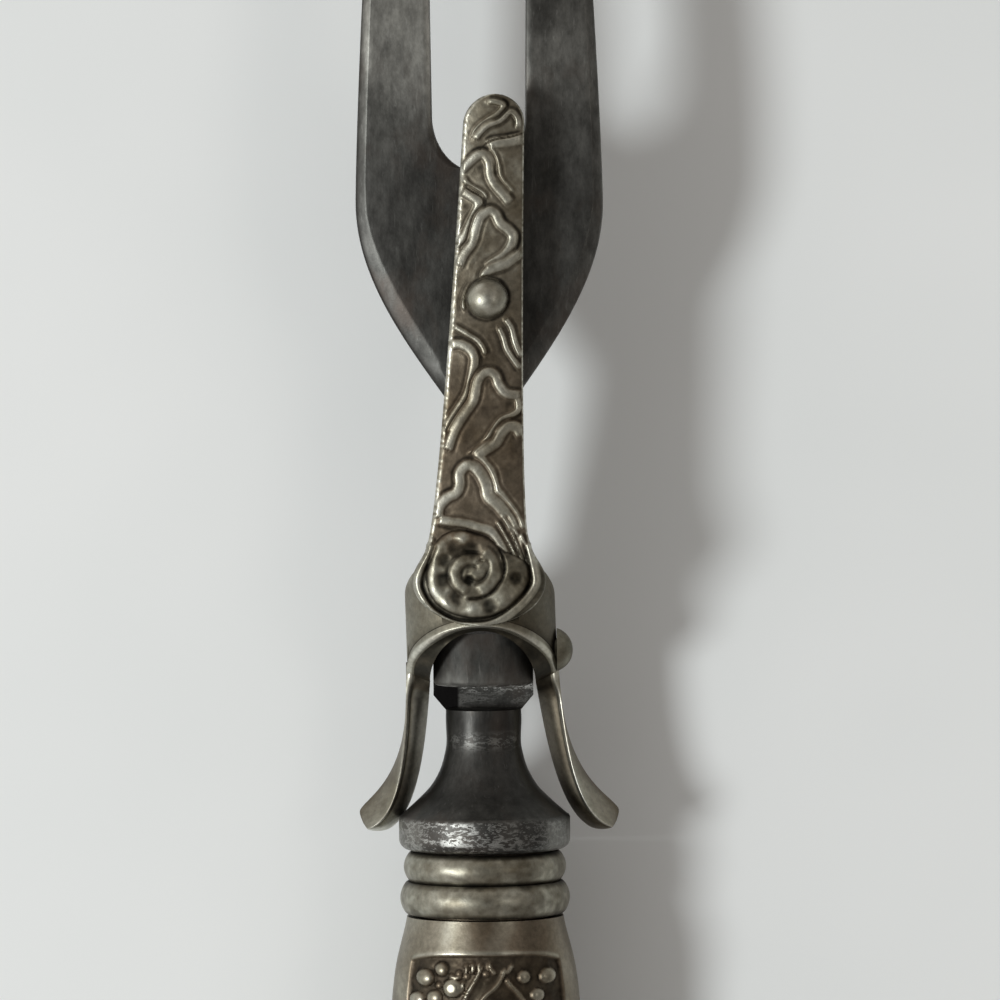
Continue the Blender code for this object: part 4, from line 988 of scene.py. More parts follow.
def rosette_field(points):
    """Height in millimetres, wear and reach of the curled leaf at the arm's root."""
    centre = on_arm(ROSETTE_CENTRE)
    edge, away = on_arm(ROSETTE_EDGE) - centre, points - centre
    bearing = np.arctan2(edge[:, 1], edge[:, 0])
    order = np.argsort(bearing)
    radius = np.interp(np.arctan2(away[:, 1], away[:, 0]), bearing[order],
                       np.linalg.norm(edge, axis=1)[order], period=2 * math.pi)
    depth = radius - np.linalg.norm(away, axis=1)
    disc = np.sqrt(1.0 - np.clip(1.0 - depth / ROSETTE_ROUND, 0.0, 1.0) ** 2)
    relief = np.zeros(len(points))
    for spots, rise, sharpness in ((ROSETTE_LOBES, LOBE_RISE, 1.0), (ROSETTE_HOLLOWS, HOLLOW_RISE, 2.0)):
        for column, row, size in spots:
            gap = gap_to(points, on_arm((column, row)))
            relief = relief + rise * hump((gap / size) ** sharpness, 1.0)
    curls, lines = border_field(points, [(width, 0, arm_line(path)) for width, path in ROSETTE_CURLS])
    seam = hump(nearest(points, arm_line(ROSETTE_SEAM), LINE_REACH)[0], SEAM_WIDTH)
    cuts = SEAM_DEPTH * np.maximum(seam, 0.6 * lines) * disc
    height = ROSETTE_RISE * disc + relief * disc + CURL_RISE * curls - cuts
    wear = ROSETTE_WEAR + 1.5 * relief + 0.16 * curls + specks(points, *ROSETTE_SPECKS)
    wear = wear - 0.55 * np.maximum(seam, 0.7 * lines) - 0.35 * hump(depth, 0.25)
    return height, wear, smoothstep(depth / 0.15 + 0.5)


def arm_relief(points):
    """Relief of the arm's face: height in millimetres, and wear from 0 in grooves to 1 on borders."""
    borders = [(width, deep, arm_line(path)) for width, deep, path in LEAF_BORDERS]
    height, groove = border_field(points, borders)
    for path in DEEP_LINES:
        groove = np.maximum(groove, hump(nearest(points, arm_line(path), LINE_REACH)[0], DEEP_LINE_WIDTH))
    for column, row, size in RECESSES:
        gap = gap_to(points, on_arm((column, row)))
        groove = np.maximum(groove, RECESS_GROOVE * hump(gap, size) * (1.0 - height))
    ring = gap_to(points, (0.0, RIVET_Y)) - BEAD_RADIUS
    calm = onset(ring, 0.0, RING_RUN)
    groove = np.maximum(groove * calm, hump(ring - RING_OFFSET, RING_WIDTH))
    height = height * calm
    raised = RIDGE_HEIGHT * height - GROOVE_DEPTH * groove
    field = mix(FIELD_LEVEL, TIP_FIELD_LEVEL, onset(points[:, 1], *TIP_FIELD))
    wear = mix(field, RIDGE_WEAR, height ** 1.3) + specks(points, *ARM_SPECKS) - 0.95 * field * groove
    rose, rose_wear, inside = rosette_field(points)
    raised, wear = mix(raised, rose, inside), mix(wear, rose_wear, inside)
    rim, rim_groove = border_field(points, [(FAN_RIM_WIDTH, 1, arm_line(FAN_RIM))])
    raised = np.maximum(raised, FAN_RIM_HEIGHT * rim) - FAN_RIM_GROOVE * rim_groove * (1.0 - rim)
    wear = mix(wear, FAN_RIM_WEAR, np.clip(1.6 * rim - 0.5, 0.0, 1.0)) - 0.4 * rim_groove * (1.0 - rim)
    return raised + specks(points, *ARM_DENTS), np.clip(wear, 0.0, 1.0)


ARM_STEP = 0.12           # between the rows of the arm's points
ARM_COLUMNS = 109
CROWD = 0.62              # draws the columns towards the arm's edges
END_ROWS = 52
END_TURN = 87.5           # degrees, so that the round ends stop short of a point
FAN_RELIEF = 0.75         # share of the relief that is left at the fan's edge
LEFT_RUB_AND_HIGHLIGHT = 0.8            # widths of the rubbed strips along the edges; the left one is wider, a painted highlight on the lit edge
RIGHT_RUB = 0.3
RUB_AND_HIGHLIGHT_WEAR = 0.85
HAMMER_MARKS = np.array([1.0, 1.6])
UNDERSIDE_SHARES = np.array([1.0, 0.6, 0.0, -0.6, -1.0])
UNDERSIDE_WEAR = 0.5


def make_arm():
    tip = ARM_TIP_WIDTH / 2
    turn = np.linspace(math.radians(END_TURN), 0.0, END_ROWS)
    rows = np.concatenate([FAN_CENTRE - (FAN_CENTRE - ARCH_CROWN) * np.sin(turn),
                           np.arange(FAN_CENTRE + ARM_STEP, ARM_TIP - tip, ARM_STEP),
                           ARM_TIP - tip + tip * np.sin(turn[::-1][:-1])])[:, None]
    spread = np.linspace(-1.0, 1.0, ARM_COLUMNS) * math.pi / 2 * CROWD
    share = np.sin(spread) / math.sin(math.pi / 2 * CROWD)
    half = np.array([[arm_half_width(y)] for y in rows[:, 0]])
    x, y = half * share, np.repeat(rows, ARM_COLUMNS, 1)
    points = np.stack([x, y], -1).reshape(-1, 2)
    raised, wear = (field.reshape(x.shape) for field in arm_relief(points))
    fan = onset(2 * half, ARM_ROOT_WIDTH, FAN_WIDTH - ARM_ROOT_WIDTH)
    inset = np.clip(half * (1.0 - np.abs(share)) / ARM_EDGE, 0.0, 1.0)
    fall = ARM_EDGE * (1.0 - np.sqrt(1.0 - (1.0 - inset) ** 2))
    crown = ARM_CROWN * (1 - share ** 2) - FAN_DROOP * fan * share ** 2
    z = ARM_TOP + crown - fall + raised * np.maximum(smoothstep(inset), FAN_RELIEF * fan)
    strip = np.where(share < 0, LEFT_RUB_AND_HIGHLIGHT, RIGHT_RUB)
    hammered = value_noise(points * HAMMER_MARKS, 0.5, 23).reshape(x.shape)
    # rubbed edges, part wear and part painted highlight on the lit left edge
    rubbed_and_highlit = smoothstep(1.4 - 1.4 * half * (1.0 - np.abs(share)) / strip) * (1.0 - fan)
    wear = mix(wear, np.clip(RUB_AND_HIGHLIGHT_WEAR + 0.35 * hammered, 0.0, 1.0), rubbed_and_highlit)
    z = z + 0.05 * hammered * rubbed_and_highlit
    low_x = half * UNDERSIDE_SHARES
    low_z = ARM_UNDERSIDE - FAN_DROOP * fan
    low = np.stack(np.broadcast_arrays(low_x, rows, low_z), -1)
    rings = np.concatenate([np.stack([x, y, z], -1), low], 1)
    values = np.concatenate([wear, np.full(low_x.shape, UNDERSIDE_WEAR)], 1)
    return loft("guard_arm", lean(rings), {"wear": values})


# Guard: saddle, rim of the arch and legs

RIM_WIDTH_ARCH = 1.05
RIM_WIDTH_FOOT = 0.7
RIM_BULGE = 0.28
ARCH_SWELL = -0.2         # the face inside the rim is scooped under the arch and round on the legs
LEG_SWELL = 0.65
LEFT_LEG_WEAR_AND_LIGHT = 0.96      # painted light on the left leg's face and painted shade on the right one's
RIGHT_LEG_WEAR_AND_SHADE = 0.46
CHEEK_PULLS = ((0.29, 0.26), (0.71, 0.65))
CHEEK_CORNER = [(3.0, -6.3), (4.4, -5.6), (5.1, -4.6)]
# Front edge of cheeks and roof: place along the fork, height
SADDLE_EDGE = np.vstack([CHEEK_CORNER, sweep((5.2, -3.8), (SADDLE_FRONT - SEAT_GAP, ARM_UNDERSIDE),
                                             [(1 - run, 1 - rise) for run, rise in CHEEK_PULLS[::-1]], 60),
                         [(SADDLE_FRONT, ROOF_TOP)]])


def roof_height(x, proud=0.0):
    """Underside of the saddle at a place across it: an arch with full shoulders."""
    share = min(abs(x) / (CHEEK_INNER - proud), 1.0)
    arch = (1.0 - share ** ROOF_FULLNESS) ** (1.0 / ROOF_FULLNESS)
    return mix(BARREL_CENTRE, ROOF_UNDERSIDE - proud, arch)


RIM_LIMIT = 0.8           # the most of the face's width that the rim may take
# Wear round the yoke's section: rim, face at the arch or on a leg, underside and wall
RIM_WEAR = [0.80, 0.92, 0.98, 0.98, 0.96, 0.90, 0.78, 0.56]
ARCH_FACE = [0.08, 0.10, 0.10, 0.09, 0.08, 0.08, 0.08, 0.08, 0.08]
LEG_FACE = [0.72, 0.94, 1.0, 1.0, 1.0, 0.97, 0.94, 0.94, 1.0]
WALL_WEAR = [0.30, 0.25, 0.25, 0.40, 0.50, 0.54, 0.56, 0.60, 0.68]
WALL_SHARES = (0.2, 0.4, 0.6, 0.8, 0.94)
ARCH_WEAR = np.array(RIM_WEAR + ARCH_FACE + WALL_WEAR)
ARCH_ROWS = 70
LEG_ROWS = 110
LEG_WEAR_RUN = 0.08       # share of the leg over which the arch's wear gives way to the leg's
STEP_LINE = 0.22          # a dark line where the leg leaves the arch, its place and width as shares
STEP_LINE_PLACE = 0.05
STEP_LINE_WIDTH = 0.02


def yoke_section(outer, inner, under, wall, rim_width, swell):
    """Loop of the yoke: a worn rim, the face inside it, the underside and the outer wall."""
    across = inner - outer
    rim = outer + across * min(rim_width / np.linalg.norm(across), RIM_LIMIT)
    up = np.array([0.0, 0.0, 1.0])
    rim_shares, face_shares = np.linspace(0.0, 1.0, len(RIM_WEAR)), np.linspace(0.06, 1.0, len(LEG_FACE))
    loop = [mix(outer, rim, t) + up * RIM_BULGE * math.sin(math.pi * t) for t in rim_shares]
    loop += [mix(rim, inner, t) + up * swell * math.sin(math.pi * t) for t in face_shares]
    loop += [mix(inner, under, 0.5), under, mix(under, wall, 0.5), wall]
    loop += [mix(wall, outer, t) for t in WALL_SHARES]
    return np.array(loop)


def yoke_half(leg_level):
    """Rings of the right half of the arch's rim and its leg, from the crown to the foot, and their wear, with the
    leg's face set by a level that holds painted light on the left leg and painted shade on the right one.
    """
    rings, wear = [], []
    leg_wear_and_light = np.array(RIM_WEAR + [leg_level * share for share in LEG_FACE] + WALL_WEAR)
    ahead = np.array([0.0, RIM_DEPTH, 0.0])
    high, low = CHEEK_OUTER + RIM_PROUD, CHEEK_OUTER - RIM_PROUD
    for angle in np.linspace(math.pi / 2, 0.0, ARCH_ROWS)[:-1]:
        c, s = math.cos(angle), math.sin(angle)
        place = mix(-ARCH_FOOT, ARCH_CROWN, s)
        outer = np.array([high * c, place, BARREL_CENTRE + high * s])
        wall = np.array([low * c, place + RIM_DEPTH, BARREL_CENTRE + low * s])
        inside = (CHEEK_INNER - REVEAL_PROUD) * c
        inner = np.array([inside, mix(-REVEAL_FOOT, REVEAL_CROWN, s), roof_height(inside, REVEAL_PROUD)])
        rings.append(yoke_section(outer, inner, inner + ahead, wall, RIM_WIDTH_ARCH, ARCH_SWELL))
        wear.append(ARCH_WEAR)
    start, inside = (high, -ARCH_FOOT), (CHEEK_INNER - REVEAL_PROUD, -REVEAL_FOOT)
    paths = zip(sweep(start, FOOT_RIM, RIM_PULLS, LEG_ROWS),
                sweep(inside, FOOT_INNER, INNER_PULLS, LEG_ROWS),
                sweep(start, FOOT_WALL, WALL_PULLS, LEG_ROWS))
    for step, (rim, edge, flare) in enumerate(paths):
        share = step / (LEG_ROWS - 1)
        settle = float(smoothstep(share / LEG_SETTLE))
        outer = np.array([*rim, mix(BARREL_CENTRE, LEG_TOP, settle)])
        inner = np.array([*edge, mix(BARREL_CENTRE, LEG_LOW + LEG_EDGE, settle)])
        under = mix(inner + ahead, np.array([edge[0] + LEG_UNDERCUT, edge[1], LEG_LOW]), settle)
        wall = mix(outer + ahead, np.array([*flare, LEG_LOW]), settle)
        ring = yoke_section(outer, inner, under, wall, mix(RIM_WIDTH_ARCH, RIM_WIDTH_FOOT, share),
                            mix(ARCH_SWELL, LEG_SWELL, settle))
        past = max((share - 1.0 + FOOT_ROUND) / FOOT_ROUND, 0.0)
        rings.append(mix(ring.mean(0), ring, mix(FOOT_END, 1.0, math.sqrt(1.0 - past * past))))
        step_line = STEP_LINE * float(hump(share - STEP_LINE_PLACE, STEP_LINE_WIDTH))
        wear.append(mix(ARCH_WEAR, leg_wear_and_light, float(smoothstep(share / LEG_WEAR_RUN))) - step_line)
    return np.array(rings), np.array(wear)


def make_yoke():
    # the left leg's face carries painted light, the right one's painted shade
    left, left_wear_and_light = yoke_half(LEFT_LEG_WEAR_AND_LIGHT)
    right, right_wear_and_shade = yoke_half(RIGHT_LEG_WEAR_AND_SHADE)
    rings = np.vstack([left[:0:-1] * MIRRORED, right])
    return loft("guard_yoke", lean(rings), {"wear": np.vstack([left_wear_and_light[:0:-1], right_wear_and_shade])})


CHEEK_LIFT = 0.02
CHEEK_ROWS = 30
ROOF_ROWS = 121
SADDLE_COLUMNS = 9
SADDLE_ROUND = 0.3        # rounding of the plate's borders
SADDLE_RIM = (0.12, 0.88)
CHEEK_RUN = 1.3           # height over which the cheek's back edge leaves the arch
SADDLE_SIDE_LIGHT = (1.12, 0.72)     # painted light on the left and painted shade on the right, as factors on the wear
# Wear round the plate's section: outside, front border, inside and back border
SADDLE_WEAR = np.array([0.30, 0.44] + [0.46] * 6 + [0.58, 0.62, 0.4, 0.25, 0.15, 0.15, 0.2, 0.3])


def make_saddle():
    """Round roof and cheeks behind the arch, drawn as a bent plate with rounded borders."""
    drop = np.linspace(-CHEEK_DROP + CHEEK_LIFT, BARREL_CENTRE, CHEEK_ROWS)[:-1]
    turn = np.linspace(0.0, math.pi, ROOF_ROWS)
    outline = [(CHEEK_OUTER, z) for z in drop]
    outline += [(CHEEK_OUTER * math.cos(a), BARREL_CENTRE + CHEEK_OUTER * math.sin(a)) for a in turn]
    outline += [(-CHEEK_OUTER, z) for z in drop[::-1]]
    seat = RIM_DEPTH / 2
    rings, values = [], []
    for x, z in outline:
        outer = np.array([x, z])
        if z <= BARREL_CENTRE:
            inner = np.array([math.copysign(CHEEK_INNER, x), z])
            back = mix(seat - ARCH_FOOT, -CHEEK_BACK, min((BARREL_CENTRE - z) / CHEEK_RUN, 1.0))
        else:
            inside = x * CHEEK_INNER / CHEEK_OUTER
            inner = np.array([inside, roof_height(inside)])
            back = mix(seat - ARCH_FOOT, seat + ARCH_CROWN, (z - BARREL_CENTRE) / CHEEK_OUTER)
        front = float(np.interp(z, SADDLE_EDGE[:, 1], SADDLE_EDGE[:, 0]))
        start, end = back + SADDLE_ROUND, front - SADDLE_ROUND
        near, far = (mix(outer, inner, share) for share in SADDLE_RIM)
        loop = [(outer, mix(start, end, t)) for t in np.linspace(0.0, 1.0, SADDLE_COLUMNS)]
        loop += [(near, front), (far, front), (inner, end), (inner, mix(back, front, 0.5)), (inner, start),
                 (far, back), (near, back)]
        rings.append([(p[0], y, p[1]) for p, y in loop])
        # lighter on the left and darker on the right: painted light and shade
        values.append(mix(*SADDLE_SIDE_LIGHT, (x / CHEEK_OUTER + 1.0) / 2) * SADDLE_WEAR)
    return loft("guard_saddle", lean(rings), {"wear": values})


# Greyer parts of the guard: where each one sets in, and over what run
GREY_TIP = (28.0, 25.0)
GREY_ROOT = (15.0, -4.0)
GREY_LEGS = (-3.0, -2.0)


def make_guard():
    guard = join(make_arm(), [make_saddle(), make_yoke()])
    y = local_points(guard)[:, 1]
    tip, root, legs = (onset(y, *part) for part in (GREY_TIP, GREY_ROOT, GREY_LEGS))
    mark(guard, "grey", 0.5 * tip + (0.75 - 0.35 * legs) * root)
    return dress(guard, worn_silver(), "guard", "nickel_silver", "guard", sharp=50.0)


# Rivet and pin

BEAD_SINK = 0.3           # how deep the bead sits in the arm
BEAD_SWELL = 0.5          # what the sunk bead has in height besides
BEAD_COLLAR = 0.15
RIVET_RADIUS = 1.2
RIVET_TAIL = ((RIVET_RADIUS, 1.3), (1.9, 1.3), (1.3, 2.0), (TURNED_END, 2.0))   # radius, depth
BEAD_STEPS = 96
PIN_RADIUS = 1.5
PIN_SINK = 0.15
PIN_STEPS = 72


def dome_profile(radius, height, base, steps=24):
    """Profile of a dome from its top to its rim."""
    ball = (radius ** 2 + height ** 2) / (2 * height)
    reach = math.asin(min(radius / ball, 1.0))
    angles = np.linspace(0.02, reach, steps)
    return [(ball * math.sin(a), base + height - ball + ball * math.cos(a)) for a in angles]


def mark_wear(piece, level, blotches, grey):
    """Give a plain piece wear of a level with blotches of a spread, size and seed, and a share of grey."""
    mark(piece, "wear", level + specks(local_points(piece), blotches))
    mark(piece, "grey", grey)


def make_bead():
    """Polished bead on the arm: the rivet's round head with a worn collar."""
    base = ARM_TOP + ARM_CROWN - BEAD_SINK
    profile = dome_profile(BEAD_RADIUS, BEAD_HEIGHT + BEAD_SWELL, base)
    profile += [(BEAD_RADIUS - BEAD_COLLAR, base - BEAD_SINK), (RIVET_RADIUS, base - BEAD_SINK)]
    profile += [(radius, ARM_UNDERSIDE - depth) for radius, depth in RIVET_TAIL]
    middle = lean([0.0, RIVET_Y])
    piece = loft("spring_rivet_bead", turned(profile, BEAD_STEPS, "Z", middle))
    mark_wear(piece, 0.70, (0.22, 0.9, 31), 0.6)
    return dress(piece, worn_silver("bead_silver", 0.01), "guard", "nickel_silver", "spring_rivet")


def make_pin():
    seat = CHEEK_OUTER - PIN_SINK
    profile = dome_profile(PIN_HEAD_RADIUS, PIN_HEAD_HEIGHT, seat)
    profile += [(PIN_RADIUS, seat), (PIN_RADIUS, -CHEEK_OUTER), (TURNED_END, -CHEEK_OUTER)]
    piece = loft("pin_with_domed_head", turned(profile, PIN_STEPS, "X", (0.0, 0.0)))
    mark_wear(piece, 0.50, (0.15, 1.4, 33), 1.0)
    return dress(piece, worn_silver("pin_silver"), "guard", "nickel_silver", "hinge_pin")


# Ferrule and handle

FERRULE_STEPS = 200
BEAD_ROWS = 26
BEAD_FULLNESS = 0.7
FERRULE_DENTS = (0.05, 2.4, 41)
FERRULE_SPECKS = ((0.16, 1.8, 42), (0.12, 0.6, 43))
GROOVE_WEAR = 0.18
BEAD_WEAR = 0.38          # more than in the groove
BORE_WEAR = 0.2


def make_ferrule():
    middle = FERRULE_FRONT - FRONT_BEAD_LENGTH
    beads = ((FERRULE_FRONT, middle, FRONT_BEAD_RADIUS), (middle, FERRULE_BACK, REAR_BEAD_RADIUS))
    profile, lift = [], []
    for front, back, radius in beads:
        for share in np.linspace(0.0, 1.0, BEAD_ROWS):
            bulge = max(math.sin(math.pi * share), 0.0)
            profile.append((radius - BEAD_GROOVE * (1.0 - bulge ** BEAD_FULLNESS), mix(front, back, share)))
            lift.append(GROOVE_WEAR + BEAD_WEAR * min(2.0 * bulge, 1.0))
    profile += [(FERRULE_BORE, FERRULE_BACK), (FERRULE_BORE, FERRULE_FRONT)]
    lift = np.array(lift + [BORE_WEAR] * 2)[:, None]
    spots = turned(profile, FERRULE_STEPS, "Z", (0.0, 0.0))
    rings = turned(profile, FERRULE_STEPS, dents=FERRULE_DENTS)
    faces = quads(np.pad(point_grid(*rings.shape[:2]), ((0, 1), (0, 1)), mode="wrap"))
    wear = np.clip(lift + specks(spots, *FERRULE_SPECKS), 0.0, 1.0)
    piece = new_object("beaded_ferrule", rings, faces, {"wear": wear})
    mark(piece, "grey", 0.75)
    return dress(piece, worn_silver("ferrule_silver", 0.07, 0.04), "fork", "nickel_silver", "ferrule")


# Half widths of the handle at distances from its mouth
HANDLE_WIDTHS = [(0.0, 9.8), (11.0, 11.8), (37.4, 12.3), (77.0, 10.3), (HANDLE_LENGTH - BUTT_CAP, 12.5)]
HANDLE_FLATNESS = 0.82
FLAT_RUN = 24.2
PANEL_START = 4.0
PANEL_END = 101.0
PANEL_ANGLE = 58.0        # how far round each side of the handle the panel reaches, in degrees
PANEL_DEPTH = 0.4
STEM_WAVE = 26.0          # length of one wave of the vine
STEM_SWING = 3.4
# Berries and stems at the mouth: places across and along, and a berry's radius
TOP_BERRIES = [(-7.7, 7.0, 1.12), (-5.6, 5.9, 0.88), (-4.2, 8.2, 1.25), (-6.5, 9.5, 1.0), (-8.7, 9.8, 1.0),
               (4.9, 6.9, 0.85), (7.9, 6.9, 1.05), (6.6, 9.2, 0.9), (-3.4, 6.4, 0.45), (-2.4, 6.7, 0.45),
               (0.1, 6.4, 0.42), (-6.0, 7.9, 0.45)]
TOP_STEMS = [[(-2.9, 10.4), (-2.4, 9.0), (-1.25, 7.1), (-0.4, 5.3)],
             [(-0.9, 10.2), (-0.1, 9.2), (1.4, 7.9), (2.2, 6.6), (2.5, 5.6)],
             [(2.6, 6.9), (3.0, 7.6), (4.6, 9.5), (6.4, 12.0)],
             [(-4.7, 6.6), (-3.8, 6.9), (-2.9, 6.7)], [(-2.5, 5.1), (-2.4, 5.9), (-2.6, 6.6)],
             [(-1.7, 5.0), (-1.6, 5.8), (-1.8, 6.5)], [(-0.9, 4.9), (-0.8, 5.6), (-0.9, 6.2)],
             [(0.4, 4.9), (0.7, 5.8), (1.4, 6.6)], [(3.4, 5.2), (3.0, 6.0), (2.4, 6.4)],
             [(-3.3, 8.9), (-2.9, 8.0), (-2.9, 7.2)], [(3.2, 9.9), (3.8, 10.6), (4.2, 11.6)]]
TOP_STEM_WIDTH = 0.3
STEM_WIDTH = 0.5
STEM_PLACES = np.arange(12.0, 96.0, 0.8)
LEAF_PLACES = np.arange(18.0, 94.0, STEM_WAVE / 2)
LEAF_OFFSET = 3.2
LEAF_REACH = 3.6
LEAF_TURN = 160.0         # degrees that the outline runs to each side
LEAF_POINTS = 27
LEAF_STRETCH = 1.15
LEAF_LINE = 0.34
LOBES = 5.0
LOBE_DEPTH = 0.26
LEAF_TAPER = 0.25
VEIN_LINE = 0.22
VEIN_TURNS = (-50.0, 0.0, 50.0)
VEIN_REACH = (3.0, 3.2)   # across and along
VEIN_ROOT = 1.6
BERRY_PLACES = np.arange(24.5, 96.0, STEM_WAVE / 2)
BERRY_OFFSET = 4.6
BERRY_CLUSTER = ((0.0, 0.0, 1.15), (1.9, 1.3, 1.0), (0.2, 2.4, 0.95), (2.0, -1.4, 0.9), (-1.2, 4.4, 0.8))
BERRY_HEIGHT = 0.66       # shares of a berry's radius
BERRY_GROOVE = 1.12
BERRY_GROOVE_WIDTH = 0.2
VINE_HEIGHT = 0.45
RELIEF_LIMIT = 0.75
PANEL_ARCH = 0.9          # how much later the panel starts at its sides
PANEL_FADE = 0.5
PANEL_SIDE_FADE = 2.5     # degrees
STIPPLE = (0.06, 0.5, 51)
GROUND_WEAR = 0.17
GROUND_SPECKS = (0.10, 0.7, 52)
COLLAR_WEAR = 0.60
COLLAR_SPECKS = (0.07, 3.0, 53)
COLLAR_REFLECTIONS = [(-4.6, 1.0, 0.14), (-0.6, 1.8, -0.20), (5.6, 2.2, -0.26)]    # painted reflections as light and dark bands: place, width, change of wear
FINE_RUN = 14.0           # the relief's points lie closer together next to the mouth
FINE_STEP = 0.15
BUTT_TURNS = np.linspace(0.0, 1.53, 26)       # just short of a quarter turn
BUTT_END = 0.03           # the least share of the section that is left at the butt
SHELL_ANGLES = np.linspace(0.0, 180.0, 181)
INSIDE_SKIP = 4           # the inside takes only each fourth of these
INSIDE_WEAR = 0.3


def handle_section(place):
    """Half width and half depth of the handle at a distance from its mouth."""
    straight = min(place, HANDLE_LENGTH - BUTT_CAP)
    half = float(along(HANDLE_WIDTHS, straight))
    depth = half * mix(1.0, HANDLE_FLATNESS, float(smoothstep(straight / FLAT_RUN)))
    if place > straight:
        round_off = math.sqrt(max(1.0 - ((place - straight) / BUTT_CAP) ** 2, BUTT_END ** 2))
        return half * round_off, depth * round_off
    return half, depth


def handle_lines():
    """Stems and leaves of the panel, as borders in place across and along."""
    lines = [(TOP_STEM_WIDTH, 0, curve_through(stem)) for stem in TOP_STEMS]
    swing = STEM_SWING * np.sin(2 * math.pi * (STEM_PLACES - STEM_PLACES[0]) / STEM_WAVE)
    lines.append((STEM_WIDTH, 0, curve_through(np.column_stack([swing, STEM_PLACES]))))
    for number, place in enumerate(LEAF_PLACES):
        side = 1.0 if number % 2 else -1.0
        lines += leaf_lines(side * LEAF_OFFSET, place, side)
    return lines


def leaf_lines(x, y, side):
    """Outline and veins of one lobed leaf beside the stem."""
    outline = []
    for angle in np.linspace(-LEAF_TURN, LEAF_TURN, LEAF_POINTS):
        turn = math.radians(angle)
        lobe = LEAF_REACH * (1.0 + LOBE_DEPTH * math.cos(turn * LOBES))
        reach = lobe * (1.0 - LEAF_TAPER * abs(angle) / LEAF_TURN)
        outline.append((x + side * reach * math.cos(turn), y + reach * math.sin(turn) * LEAF_STRETCH))
    lines = [(LEAF_LINE, 0, curve_through(outline))]
    root = (x - side * VEIN_ROOT, y)
    for angle in VEIN_TURNS:
        turn = math.radians(angle)
        tip = (x + side * VEIN_REACH[0] * math.cos(turn), y + VEIN_REACH[1] * math.sin(turn))
        middle = ((x + tip[0]) / 2, (y + tip[1]) / 2)
        lines.append((VEIN_LINE, 0, curve_through([root, middle, tip])))
    return lines


def handle_berries():
    """Berries at the mouth, then clusters on either side of the stem in turn."""
    berries = list(TOP_BERRIES)
    for number, place in enumerate(BERRY_PLACES):
        side = -1.0 if number % 2 else 1.0
        berries += [(side * (BERRY_OFFSET + dx), place + dy, radius) for dx, dy, radius in BERRY_CLUSTER]
    return berries


def handle_relief(points, angle):
    """Relief of the handle's face at places across and along it: height, and wear with painted reflection bands on
    the collar.
    """
    place, off = points[:, 1], np.abs(angle - 90.0)
    side = onset(off, PANEL_ANGLE, -PANEL_SIDE_FADE)
    arch = PANEL_START + PANEL_ARCH * np.clip(off / PANEL_ANGLE, 0.0, 1.0) ** 4
    ends = onset(place, arch, PANEL_FADE) * onset(place, PANEL_END, -PANEL_FADE)
    panel = side * ends
    height, groove = border_field(points, handle_lines())
    rise = VINE_HEIGHT * height
    for x, y, radius in handle_berries():
        gap = gap_to(points, (x, y))
        ball = np.sqrt(np.clip(1.0 - (gap / radius) ** 2, 0.0, 1.0))
        rise = np.maximum(rise, ball * radius * BERRY_HEIGHT)
        groove = np.maximum(groove * (gap > radius), hump(gap - radius * BERRY_GROOVE, BERRY_GROOVE_WIDTH))
    total = panel * (np.minimum(rise, RELIEF_LIMIT) - PANEL_DEPTH + specks(points, STIPPLE) * (rise < 0.02))
    ground = GROUND_WEAR + specks(points, GROUND_SPECKS)
    high = 0.50 * np.clip(rise / 0.5, 0.0, 1.0)
    wear_in = np.clip(ground + high - 0.10 * groove * (rise < 0.1), 0.0, 1.0)
    collar_wear_and_reflections = COLLAR_WEAR + specks(points, COLLAR_SPECKS)
    # painted reflections: light and dark bands across the collar
    for across, width, change in COLLAR_REFLECTIONS:
        collar_wear_and_reflections = collar_wear_and_reflections + change * hump(points[:, 0] - across, width) * (place < PANEL_START + 1.0)
    border = hump(PANEL_ANGLE - off - 1.2, 1.1) * ends
    edge = hump(place - arch + 0.15, 0.25) * side
    wear = mix(collar_wear_and_reflections, wear_in, panel) + 0.25 * edge - 0.30 * border * panel
    return total, np.clip(wear, 0.0, 1.0)


